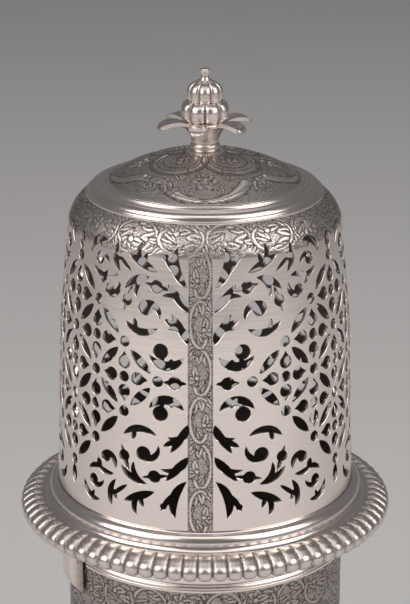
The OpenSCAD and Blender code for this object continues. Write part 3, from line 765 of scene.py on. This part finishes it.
def top_moulding_outline():
    """Fillet, torus and thin bead of the ring round the top plate."""
    inner = PLATE_R + GAP
    fillet = arc((RING_R - 0.3, CROWN_Z + 0.35), 0.3, 0, 110, 5)
    torus_r, torus_z, torus_w, torus_h = RING_R - 0.75, CROWN_Z + 0.75, 2.75, 1.75
    torus = [(torus_r - torus_w * (1 - math.cos(t)), torus_z + torus_h * math.sin(t))
             for t in np.linspace(0, math.pi / 2, 12)]
    thin_bead = arc((PLATE_R + 0.62, RING_TOP_Z - 0.45), 0.45, 0, 140, 7)
    return [(inner, CROWN_Z), (RING_R, CROWN_Z), *fillet, (RING_R - 0.62, CROWN_Z + 0.5), *torus,
            (PLATE_R + 1.2, CROWN_Z + 2.3), *thin_bead, (inner, RING_TOP_Z - 0.3)]


def rim_outline():
    """Two beads with a cove between them, and a flat lip above."""
    inner, lip, neck = BODY_R + GAP, RIM_R - 0.2, RIM_R - 0.35
    lower = arc((RIM_R - 0.7, RIM_LOW_Z + 0.7), 0.7, -80, 70, 7)
    cove = arc((RIM_R + GAP, RIM_LOW_Z + 2.5), 1.0, -115, -180, 4)[1:]
    upper = arc((RIM_R - 0.75, SEAT_Z - 1.95), 0.75, -65, 65, 7)
    return [(inner, RIM_LOW_Z), *lower, *cove, (RIM_R - 0.95, SEAT_Z - 3.0), *upper, (neck, SEAT_Z - 1.0),
            (lip, SEAT_Z - 0.75), (lip, SEAT_Z - 0.15), (neck, SEAT_Z), (inner, SEAT_Z)]


def collar_outline():
    """Turned collar under the finial."""
    base, top = span("finial_collar", Z)
    side = [(COLLAR_R - inset, base + (top - base) * part) for inset, part in COLLAR_SHAPE]
    return [(PEG_HOLE, base), *side, (PEG_HOLE, top)]


def base_ring_outline():
    """Half-round ring against the wall."""
    base, top = span("base_ring", Z)
    inner = BODY_R + GAP
    return [(inner, base), *arc((BODY_R - 0.4, base + 1.9), 2.6, -45, 80, 12), (inner, top)]


def foot_outline():
    """Spreading foot with a flat top, hollow below."""
    base, top = span("foot", Z)
    outer, hole, shoulder = high("foot", X), BODY_R - 7, BODY_R + 2.2
    wall, plate, edge, fall, start = 1.2, 1.0, 0.3, 7.1, top - 1.6
    flare = [(shoulder + (outer - shoulder) * (1 - math.cos(t)), start - fall * math.sin(t))
             for t in np.linspace(0, math.pi / 2, 14)]
    under = [(r - wall, z - 0.2) for r, z in flare[::-1]]
    return [(hole, top), (shoulder - edge, top), (shoulder, top - edge), *flare, (outer, base),
            (outer - wall, base), *under, (shoulder - wall, top - plate), (hole, top - plate)]


def foot_rim_outline():
    """Flat wire with a rounded outer side."""
    base, top = span("foot_rim", Z)
    outer, inner, wire_r = high("foot_rim", X), FOOT_R - 8, 0.6
    side = outer - 0.4
    rounded = arc((outer - wire_r, base + 1.0), wire_r, -60, 60, 6)
    return [(inner, base), (side, base), *rounded, (side, top), (inner, top)]


# Engraved top plate, drawn in plan with the front downwards

PLATE_STEP, PLATE_TURNS, PLATE_RINGS, UNDER_RINGS = 0.08, 720, 110, 14
PLATE_DEPTH, LINE_DEPTH, LINE_EDGE = 0.3, 0.34, 0.2
PLATE_LINE, PLATE_SWELL = 0.26, 0.9
PLATE_LIP, PLATE_SINK, PLATE_SHEET = 0.2, 0.02, 1.05
SEAT_R, SEAT_EDGE, OUTER_EDGE = 4.2, (0.2, 0.7), (0.9, 0.5)
QUARTERS, PETALS = 4, 6
FAN_BEND, FAN_W, PETAL_W, FLOWER_KNOB = 0.5, 0.26, 0.42, 0.4
LOOP_POINTS = 60


def polar(angle, radius):
    """A place in plan at an angle and a radius."""
    turn = math.radians(angle)
    return np.array([radius * math.sin(turn), -radius * math.cos(turn)])


def loop(angle, centre, radial, across, start=0, end=360):
    """Points of an ellipse whose middle lies at an angle and a radius."""
    out, side = polar(angle, 1), polar(angle + 90, 1)
    turns = np.radians(np.linspace(start, end, LOOP_POINTS))
    return (centre + radial * np.cos(turns))[:, None] * out + (across * np.sin(turns))[:, None] * side


def leaf_fan(field, angle, radius, headings, length):
    """A cluster of leaves that spread from one root."""
    root = polar(angle, radius) + PLATE_R
    for heading in headings:
        leaf(field, PLATE_STEP, root, angle - 90 + heading, length, FAN_BEND * heading, FAN_W * length)


def flower(field, angle, radius, size):
    """A flower of petals round a knob."""
    root = polar(angle, radius) + PLATE_R
    for petal in range(PETALS):
        leaf(field, PLATE_STEP, root, angle + 360 * petal / PETALS, size, 0, PETAL_W * size)
    lay(field, PLATE_STEP, [(*root, FLOWER_KNOB * size)])


def plate_stroke(field, points, thick, thin):
    """A strap or a cut line on the plate."""
    stroke(field, PLATE_STEP, points + PLATE_R, thick, thin)


def plate_fields():
    """Polished leaves and cut lines of the plate: strapwork petals, flowers in lobes and leaf clusters."""
    cells = int(2 * PLATE_R / PLATE_STEP) + 2
    leaves, line = np.zeros((cells, cells)), np.zeros((cells, cells))
    for quarter in range(QUARTERS):
        front, corner = 90 * quarter, 90 * quarter + 45
        leaf_fan(leaves, corner, 17.2, (-80, -40, 0, 40, 80), 4.6)
        leaf_fan(leaves, corner, 21.2, (-120, 120, 180), 3.4)
        for side in (-1, 1):
            leaf_fan(leaves, corner + side * 17, 20.2, (side * 100, side * 150, 200), 3.8)
            leaf_fan(leaves, front + side * 20, 15.6, (side * 150, side * 110, 180), 3.4)
            plate_stroke(leaves, loop(front, 12, 10, 10, side * 74, 0), 1.6, 0.6)
            plate_stroke(line, loop(front, 12, 11.2, 11.2, side * 74, 0), 0.35, 0.35)
            leaf_fan(leaves, front + side * 9, 20.2, (side * 130, side * 175), 3.4)
            spoke = np.array([polar(corner + side * 24, 11.5), polar(corner + side * 30, 14.6)])
            plate_stroke(line, spoke, 0.3, 0.3)
        flower(leaves, front, 15.8, 3.4)
        plate_stroke(line, loop(corner, 8.6, 6.5, 7.3), 0.4, 0.4)
        plate_stroke(leaves, loop(corner, 8.6, 5.4, 6.1), 0.7, 0.7)
        plate_stroke(line, loop(corner, 8, 4.0, 4.4), 0.3, 0.3)
        flower(leaves, corner, 8.0, 2.6)
    return leaves, line


def plate_height(radius):
    """Height of the dome's surface at a radius."""
    edge_z = RING_TOP_Z - PLATE_LIP
    rise = PLATE_TOP_Z - edge_z
    ball = (PLATE_R ** 2 + rise ** 2) / (2 * rise)
    return PLATE_TOP_Z - ball + np.sqrt(ball ** 2 - np.minimum(radius, PLATE_R) ** 2)


def top_plate(metal):
    """Domed plate with its strapwork cut into a matted ground."""
    leaves, line = plate_fields()
    angles = np.arange(PLATE_TURNS) * 360 / PLATE_TURNS
    radii = np.linspace(SEAT_R + GAP, PLATE_R, PLATE_RINGS)
    x = radii * np.sin(np.radians(angles))[:, None] + PLATE_R
    y = -radii * np.cos(np.radians(angles))[:, None] + PLATE_R
    rough, deep = carved(sample(leaves, PLATE_STEP, x, y), PLATE_LINE, PLATE_SWELL)
    cut = ease(sample(line, PLATE_STEP, x, y), 0.0, LINE_EDGE)
    off_seat = ease(radii, *(SEAT_R + edge for edge in SEAT_EDGE))
    inside = off_seat * (1 - ease(radii, *(PLATE_R - edge for edge in OUTER_EDGE)))
    matt = inside * np.maximum(rough, OUTLINE_MATT * cut)
    depth = inside * np.maximum(PLATE_DEPTH * deep, LINE_DEPTH * cut)
    heights = plate_height(radii) - PLATE_SINK - depth
    seat = np.array([(PEG_HOLE, PLATE_TOP_Z), (SEAT_R, PLATE_TOP_Z)])
    inner_r = np.linspace(PLATE_R - DRUM_SHEET, PEG_HOLE, UNDER_RINGS)
    under = np.minimum(plate_height(inner_r), plate_height(SEAT_R)) - PLATE_SHEET
    back = np.array([(PLATE_R, CROWN_Z), (PLATE_R - DRUM_SHEET, CROWN_Z), *zip(inner_r, under)])
    rings = np.concatenate([
        np.broadcast_to(seat, (len(angles), *seat.shape)),
        np.stack(np.broadcast_arrays(radii, heights), -1),
        np.broadcast_to(back, (len(angles), *back.shape))], 1)
    shade = np.zeros(rings.shape[:2])
    shade[:, len(seat):len(seat) + len(radii)] = matt
    piece("plate", *ringed(angles, rings), metal, "cover", ["top_plate"], "engraved_silver",
          shade.ravel(), sharp=ENGRAVED_EDGE)


# Engraved body wall

WALL_STEP, WALL_ROWS, WALL_WAVES = 0.26, 7, 12
# Least matt over the whole engraved wall: a stipple that also darkens it, painted shade under the rim
# moulding
WALL_MATT_AND_SHADE = 0.3
WALL_LOW_EDGE, WALL_TOP_EDGE = 0.2, 0.1
WALL_MM_PER_DEGREE = BODY_R * math.pi / 180


def body_wall(metal):
    """Wall of the body, covered with scrolls between the base ring and the rim moulding."""
    low_edge = high("base_ring", Z)
    round_mm = 2 * math.pi * BODY_R
    columns = int(round_mm / WALL_STEP)
    angles = np.arange(columns) * 360 / columns
    engraved_rows = np.arange(low_edge, RIM_LOW_Z, WALL_STEP)
    heights = np.concatenate([[FLOOR_Z], engraved_rows, [RIM_LOW_Z, WALL_TOP_Z]])
    row_h = (RIM_LOW_Z - low_edge) / WALL_ROWS
    wave = round_mm / WALL_WAVES
    field = running_scroll(wave, row_h, ENGRAVE_STEP)
    row = np.floor((heights - low_edge) / row_h)
    inner = heights - low_edge - row * row_h
    along = angles * WALL_MM_PER_DEGREE + wave / 2 * (row % 2)[:, None]
    rough, deep = carved(sample(field, ENGRAVE_STEP, along, inner[:, None]))
    inside = ((heights > low_edge + WALL_LOW_EDGE) & (heights < RIM_LOW_Z - WALL_TOP_EDGE))[:, None]
    # Every engraved point is darkened at least this far: painted shade under the rim, with the matted
    # stipple
    matt = inside * np.maximum(rough, WALL_MATT_AND_SHADE)
    spots = place(angles, BODY_R - ENGRAVE_DEPTH * inside * deep, heights[:, None])
    back = place(angles, BODY_R - BODY_SHEET, np.array([WALL_TOP_Z, FLOOR_Z])[:, None])
    points = np.concatenate([spots, back])
    faces = quads(len(points), columns, True)
    count = points.shape[0] * columns
    ahead = [*range(1, columns), 0]
    faces += [[count - columns + k, count - columns + ahead[k], ahead[k], k] for k in range(columns)]
    shade = np.concatenate([matt, np.zeros((2, columns))])
    piece("wall", points.reshape(-1, 3), faces, metal, "body", ["body_wall"], "engraved_silver",
          shade.ravel(), sharp=ENGRAVED_EDGE)


# Rim moulding, cut away where the lugs drop in

LUG_ANGLE = -62
NOTCH_HALF = 9
STRIP_W = 0.35


def joined(*parts):
    """One set of points and faces from several."""
    points, faces = [], []
    count = 0
    for some_points, some_faces in parts:
        points.append(np.asarray(some_points))
        faces += [[f + count for f in face] for face in some_faces]
        count += len(some_points)
    return np.concatenate(points), faces


def rim(metal):
    """A thin strip all round the mouth, and two lengths of moulding between the notches."""
    inner, outer = BODY_R + GAP, BODY_R + STRIP_W
    strip = [(inner, RIM_LOW_Z), (outer, RIM_LOW_Z), (outer, SEAT_Z), (inner, SEAT_Z)]
    lengths = [turned(rim_outline(), lug + NOTCH_HALF, lug + 180 - NOTCH_HALF, RIM_STEPS)
               for lug in (LUG_ANGLE, LUG_ANGLE + 180)]
    piece("rim", *joined(turned(strip), *lengths), metal, "body", ["rim_moulding"])


# Finial

# The fifth value darkens the buds' grooves towards tarnish: painted shade, with some tarnish
BUD_LOBES, BUD_ROWS, BUD_POWER, BUD_GROOVE, BUD_GROOVE_SHADE = 8, 30, 2.2, 0.2, 0.6
LOWER_BUD_R, UPPER_BUD_R, LOWER_BUD_TURN = 5.85, 4.3, 22.5
# Parts of the height, and of the radius there
LOWER_SIDES = ((0, 0.78), (0.06, 0.92), (0.18, 1.0), (0.6, 1.0), (0.8, 0.95), (0.93, 0.86), (1, 0.74))
UPPER_SIDES = ((0, 0.9), (0.08, 0.97), (0.2, 1.0), (0.5, 0.99), (0.7, 0.9), (0.85, 0.73), (0.95, 0.52),
               (1, 0.34))
CUP_H = LOWER_BUD_Z - CALYX_Z
CUP_FOOT_R, CUP_R, CUP_POWER, CUP_STEPS = 3.3, 5.8, 1.9, 12
CUP_SIDE, CUP_EDGE = 0.84, 0.92
LEAVES, LEAF_TURN = 6, -10
LEAF_ROOT, LEAF_TILT = 2.4, 110
LEAF_LENGTH = LEAF_REACH / math.sin(math.radians(LEAF_TILT))
LEAF_W, LEAF_ROWS, LEAF_COLUMNS = 2.35, 26, 13
LEAF_FOOT, LEAF_RISE, LEAF_ARCH = 0.66, 0.34, 158
LEAF_HALF_RUN, LEAF_POWER = 0.52, 3
LEAF_THIN, LEAF_GAIN, LEAF_ROUND = 0.42, 0.36, 0.3
CHANNEL, CHANNEL_POWER, CHANNEL_FADE = 0.7, 1.5, 0.75
BLUNT, BLUNT_FROM, BLUNT_RUN = 0.94, 0.85, 0.15
# Radius, at parts of the height
TIP_SHAPE = ((0.02, 0), (1.2, 0), (1.02, 0.16), (0.86, 0.36), (0.88, 0.5), (1.1, 0.62), (1.28, 0.75),
             (1.26, 0.86), (1.05, 0.95), (0.5, 0.995), (0.02, 1))


def bud(name, node, radius, turn, sides, metal):
    """A melon-shaped bud."""
    base, top = span(node, Z)
    angles, groove = lobed(BUD_LOBES, BUD_POWER)
    columns = len(angles)
    up = np.linspace(0, 1, BUD_ROWS)
    part = np.interp(up, *zip(*sides))
    part = np.convolve(np.pad(part, 1, "edge"), [0.25, 0.5, 0.25], "valid")
    around = radius * part[:, None] * (1 - BUD_GROOVE * groove[None])
    points = place(turn + angles, around, (base + (top - base) * up)[:, None]).reshape(-1, 3)
    faces = quads(len(up), columns, True)
    last = (len(up) - 1) * columns
    faces += [list(range(columns))[::-1], list(range(last, last + columns))]
    # Grooves darkened towards tarnish: painted shade between the lobes, with some tarnish
    groove_shade = np.broadcast_to(BUD_GROOVE_SHADE * groove ** 2, around.shape)
    piece(name, points, faces, metal, "cover", [node], matt=groove_shade.ravel(), sharp=BUD_EDGE)


def cup_outline():
    """Cup that flares smoothly from the collar into the leaves."""
    t = np.linspace(0, 1, CUP_STEPS)
    radii = CUP_FOOT_R + (CUP_R - CUP_FOOT_R) * t ** CUP_POWER
    heights = CALYX_Z + CUP_SIDE * CUP_H * t
    edge, top = (CUP_R + 0.1, CALYX_Z + CUP_EDGE * CUP_H), CALYX_Z + CUP_H
    return [(PEG_HOLE, CALYX_Z), *zip(radii, heights), edge, (CUP_R - 0.3, top), (PEG_HOLE, top)]


def calyx_leaf(angle):
    """A thick leaf that springs from the cup, channelled along its middle, with a blunt rounded tip."""
    t = np.linspace(0, 1, LEAF_ROWS)[:, None]
    s = np.linspace(-1, 1, LEAF_COLUMNS)[None]
    radius = LEAF_ROOT + (LEAF_LENGTH - LEAF_ROOT) * t
    width = LEAF_W * np.sqrt(1 - np.abs((t - 0.5) / LEAF_HALF_RUN) ** LEAF_POWER)
    channel = CHANNEL * (1 - np.abs(s) ** CHANNEL_POWER) * (1 - CHANNEL_FADE * t)
    rise = LEAF_FOOT + LEAF_RISE * np.sin(np.radians(LEAF_ARCH) * t)
    middle = CALYX_Z + CUP_H * rise - channel
    blunt = np.sqrt(1 - BLUNT * np.clip((t - BLUNT_FROM) / BLUNT_RUN, 0, 1) ** 2)
    half = (LEAF_THIN + LEAF_GAIN * t) * (1 - LEAF_ROUND * s ** 2) * blunt
    way, side = polar(angle, 1), polar(angle + 90, 1)
    plan = radius[..., None] * way + (width * s)[..., None] * side
    upper = np.concatenate([plan, (middle + half)[..., None]], -1)
    lower = np.concatenate([plan, np.maximum(middle - half, CALYX_Z)[..., None]], -1)
    rows, columns = half.shape
    count = rows * columns
    face = quads(rows, columns, False)
    faces = face + [[f + count for f in each][::-1] for each in face]
    rim_way = [*range(columns), *range(2 * columns - 1, count, columns),
               *range(count - 2, count - columns - 1, -1), *range(count - 2 * columns, 0, -columns)]
    faces += [[a, b, b + count, a + count] for a, b in zip(rim_way, rim_way[1:] + rim_way[:1])]
    return np.concatenate([upper, lower]).reshape(-1, 3), faces


def calyx(metal):
    """The cup with its ring of leaves."""
    leaves = [calyx_leaf(LEAF_TURN + 360 * k / LEAVES) for k in range(LEAVES)]
    cup = turned(cup_outline(), steps=SMALL_STEPS)
    piece("calyx", *joined(cup, *leaves), metal, "cover", ["finial_calyx"], sharp=LEAF_EDGE)


def tip_outline():
    """Stem and knob."""
    return [(r, TIP_Z + (TOP_Z - TIP_Z) * part) for r, part in TIP_SHAPE]


# Metals, with lengths in metres

PATCH_SCALE, LINE_SCALE, LINE_STRETCH, STIPPLE_SCALE, DENT_SCALE = 55, 60, 22, 2600, 45
STAINED, MATT_ROUGHNESS = 0.86, 0.2
# Values out at both ends of a range, and the values in
STAIN_RANGE, PUNCH_RANGE, SHINE_IN = (0.0, 0.45, 0.45, 0.75), (1.45, 0.5, 0.1, 0.5), (0.3, 0.75)
# Strength and distance
DENT_BUMP, LINE_BUMP, STIPPLE_BUMP = (0.25, 0.0012), (0.06, 0.0002), (0.5, 0.0003)
# Places of the sockets for colours on a mix node
MIX_FACTOR, MIX_COLOURS, MIX_RESULT = 0, (6, 7), 2


def shader_node(tree, kind, values, **settings):
    """Outputs of a new shader node; each value for its inputs is plain or a socket to link."""
    made = tree.nodes.new("ShaderNode" + kind)
    for name, value in settings.items():
        setattr(made, name, value)
    for key, value in values.items():
        if isinstance(value, bpy.types.NodeSocket):
            tree.links.new(value, made.inputs[key])
        else:
            made.inputs[key].default_value = value
    return made.outputs


def noise(tree, vector, scale, detail, stretch=(1, 1, 1)):
    """A noise texture in the object's own metres."""
    stretched = shader_node(tree, "Mapping", {"Vector": vector, "Scale": stretch})["Vector"]
    return shader_node(tree, "TexNoise", {"Vector": stretched, "Scale": scale, "Detail": detail})["Fac"]


def between(tree, value, low_value, high_value, low_in, high_in):
    """A value carried from one range to another."""
    return shader_node(tree, "MapRange", {"Value": value, "From Min": low_in, "From Max": high_in,
                                          "To Min": low_value, "To Max": high_value})["Result"]


def blend_colour(tree, factor, *colours):
    """A colour between two others; each is a colour or a socket."""
    values = [c if isinstance(c, bpy.types.NodeSocket) else (*c, 1) for c in colours]
    inputs = dict(zip((MIX_FACTOR, *MIX_COLOURS), (factor, *values)))
    return shader_node(tree, "Mix", inputs, data_type="RGBA")[MIX_RESULT]


def raise_bump(tree, height, strength, distance, under=None):
    """A normal raised by a height, over another normal where one is given."""
    inputs = {"Height": height, "Strength": strength, "Distance": distance}
    if under:
        inputs["Normal"] = under
    return shader_node(tree, "Bump", inputs)["Normal"]


def combine(tree, operation, *values, clamp=False):
    """The result of a maths node."""
    inputs = dict(enumerate(values))
    return shader_node(tree, "Math", inputs, operation=operation, use_clamp=clamp)["Value"]


def new_material(name):
    """A material, its node tree and the inputs of its shader."""
    made = bpy.data.materials.new(name)
    made.use_nodes = True
    return made, made.node_tree, made.node_tree.nodes["Principled BSDF"].inputs


def silver(name, bright, tarnish, polish, worn):
    """Old polished silver: uneven sheet, polishing lines, tarnish and a stipple where it is matted, and
    painted shade where the matt attribute marks grooves and the body wall.
    """
    metal, tree, shader = new_material(name)
    shader["Metallic"].default_value = 1.0
    spot = shader_node(tree, "TexCoord", {})["Object"]
    matt = shader_node(tree, "Attribute", {}, attribute_name="matt")["Fac"]
    patches = noise(tree, spot, PATCH_SCALE, 3)
    lines = noise(tree, spot, LINE_SCALE, 4, (1, 1, LINE_STRETCH))
    stipple = shader_node(tree, "TexVoronoi", {"Vector": spot, "Scale": STIPPLE_SCALE})["Distance"]
    stain = between(tree, patches, *STAIN_RANGE)
    clean = blend_colour(tree, stain, bright, tuple(STAINED * c for c in bright))
    punched = between(tree, stipple, *PUNCH_RANGE)
    dark = combine(tree, "MULTIPLY", matt, punched, clamp=True)
    tree.links.new(blend_colour(tree, dark, clean, tarnish), shader["Base Color"])
    shine = between(tree, lines, polish, worn, *SHINE_IN)
    tree.links.new(combine(tree, "MULTIPLY_ADD", matt, MATT_ROUGHNESS, shine), shader["Roughness"])
    uneven = raise_bump(tree, noise(tree, spot, DENT_SCALE, 1), *DENT_BUMP)
    scratched = raise_bump(tree, lines, *LINE_BUMP, uneven)
    grain = combine(tree, "MULTIPLY", stipple, matt)
    tree.links.new(raise_bump(tree, grain, *STIPPLE_BUMP, scratched), shader["Normal"])
    return metal


polished = silver("polished_silver_metal", (0.92, 0.845, 0.80), (0.075, 0.064, 0.057), 0.17, 0.3)
cast = silver("cast_silver_metal", (0.8, 0.73, 0.69), (0.04, 0.034, 0.03), 0.24, 0.36)
# Darker and duller than the polished silver, for the body wall only: partly painted shade under the rim
# moulding
engraved = silver("engraved_wall_silver_with_painted_shade", (0.74, 0.68, 0.64), (0.06, 0.052, 0.047), 0.26, 0.38)
# Dark brown for the drum's inner faces and the inner nodes: painted shade, with tarnish
shaded_inside_metal = silver("inside_silver_with_painted_shade", (0.26, 0.225, 0.20), (0.2, 0.17, 0.15), 0.42, 0.6)


# Pieces

drum(polished, shaded_inside_metal)
piece("base", *turned(base_moulding_outline()), polished, "cover", ["base_moulding"])
gadroons("cover_gadroons", COVER_LOBES, "gadroon_border", cast, "cover")
piece("top_ring", *turned(top_moulding_outline()), polished, "cover", ["top_moulding"])
top_plate(polished)
piece("collar", *turned(collar_outline(), steps=SMALL_STEPS), cast, "cover", ["finial_collar"])
calyx(cast)
bud("lower_bud", "finial_lower_bud", LOWER_BUD_R, LOWER_BUD_TURN, LOWER_SIDES, cast)
bud("upper_bud", "finial_upper_bud", UPPER_BUD_R, 0, UPPER_SIDES, cast)
piece("tip", *turned(tip_outline(), steps=TIP_STEPS), cast, "cover", ["finial_tip"])
rim(polished)
body_wall(engraved)
piece("ring_at_base", *turned(base_ring_outline()), polished, "body", ["base_ring"])
piece("foot_flare", *turned(foot_outline()), polished, "body", ["foot"])
gadroons("foot_gadroons", FOOT_LOBES, "foot_gadroon", cast, "body")
piece("foot_wire", *turned(foot_rim_outline()), polished, "body", ["foot_rim"])

LUG_EDGE, LUG_SEGMENTS = 0.35, 3
HIDDEN_NODES = ("body_floor", "body_neck", "cover_bezel", "finial_washer", "finial_peg")
LUG_NODES = ("bayonet_lug_left", "bayonet_lug_right")

# The inner nodes take the dark inside metal, painted shade; the lugs take polished silver
for node in HIDDEN_NODES + LUG_NODES:
    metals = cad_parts[node].data.materials
    metals.clear()
    metals.append(polished if node in LUG_NODES else shaded_inside_metal)
for node in LUG_NODES:
    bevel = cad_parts[node].modifiers.new("rounded", "BEVEL")
    bevel.width = LUG_EDGE * MM
    bevel.segments = LUG_SEGMENTS
    bevel.limit_method = "ANGLE"


# Stage, in metres

FLOOR_HALF, FLOOR_SCALE, FLOOR_ROUGHNESS = 4.0, 6, 0.7
BOX_SPREAD = 110
WARM, NEUTRAL = (1.0, 0.955, 0.925), (1.0, 0.97, 0.95)
BACKDROP, BACKDROP_STRENGTH = (0.95, 0.95, 0.98, 1), 0.15
CAMERA_SPOT, CAMERA_TILT = (0, -0.50447, 0.3240), 71.11
LENS_MM, SENSOR_MM, CLIP_START = 130.63, 36, 0.01


def floor():
    """A pale, dull and slightly uneven square that the caster stands on."""
    corners = [(FLOOR_HALF * x, FLOOR_HALF * y, 0) for x, y in ((-1, -1), (1, -1), (1, 1), (-1, 1))]
    mesh = bpy.data.meshes.new("floor")
    mesh.from_pydata(corners, [], [(0, 1, 2, 3)])
    pale, tree, shader = new_material("pale_floor")
    spot = shader_node(tree, "TexCoord", {})["Object"]
    tone = blend_colour(tree, noise(tree, spot, FLOOR_SCALE, 3), (0.74, 0.735, 0.73), (0.79, 0.785, 0.78))
    tree.links.new(tone, shader["Base Color"])
    shader["Roughness"].default_value = FLOOR_ROUGHNESS
    mesh.materials.append(pale)
    added("floor", mesh)


def softbox(name, spot, target, size, power, colour):
    """A rectangular light that faces a target."""
    light = bpy.data.lights.new(name, "AREA")
    light.shape = "RECTANGLE"
    light.size, light.size_y = size
    light.energy = power
    light.spread = math.radians(BOX_SPREAD)
    light.color = colour
    made = added(name, light)
    made.location = spot
    way = np.array(target) - np.array(spot)
    flat = math.hypot(way[0], way[1])
    made.rotation_euler = (math.atan2(flat, -way[2]), 0, math.atan2(-way[0], way[1]))


floor()
softbox("left", (-1.1, -0.9, 1.0), (-0.1, -0.6, 0.0), (1.5, 1.2), 6.3, WARM)
softbox("right", (1.1, -0.9, 1.0), (0.1, -0.6, 0.0), (1.5, 1.2), 5.8, WARM)
softbox("above", (0.0, -1.0, 1.9), (0.0, -0.9, 0.0), (1.8, 1.2), 3.2, WARM)
softbox("back", (0.0, 0.9, 1.5), (0.0, 0.4, 0.0), (0.9, 0.7), 0.45, NEUTRAL)

scene = bpy.context.scene
world = bpy.data.worlds.new("studio")
scene.world = world
world.use_nodes = True
backdrop = world.node_tree.nodes["Background"]
backdrop.inputs["Color"].default_value = BACKDROP
backdrop.inputs["Strength"].default_value = BACKDROP_STRENGTH
scene.view_settings.view_transform = "Standard"

camera = added("camera", bpy.data.cameras.new("camera"))
camera.location = CAMERA_SPOT
camera.rotation_euler = (math.radians(CAMERA_TILT), 0, 0)
camera.data.lens = LENS_MM
camera.data.sensor_width = SENSOR_MM
camera.data.clip_start = CLIP_START
scene.camera = camera
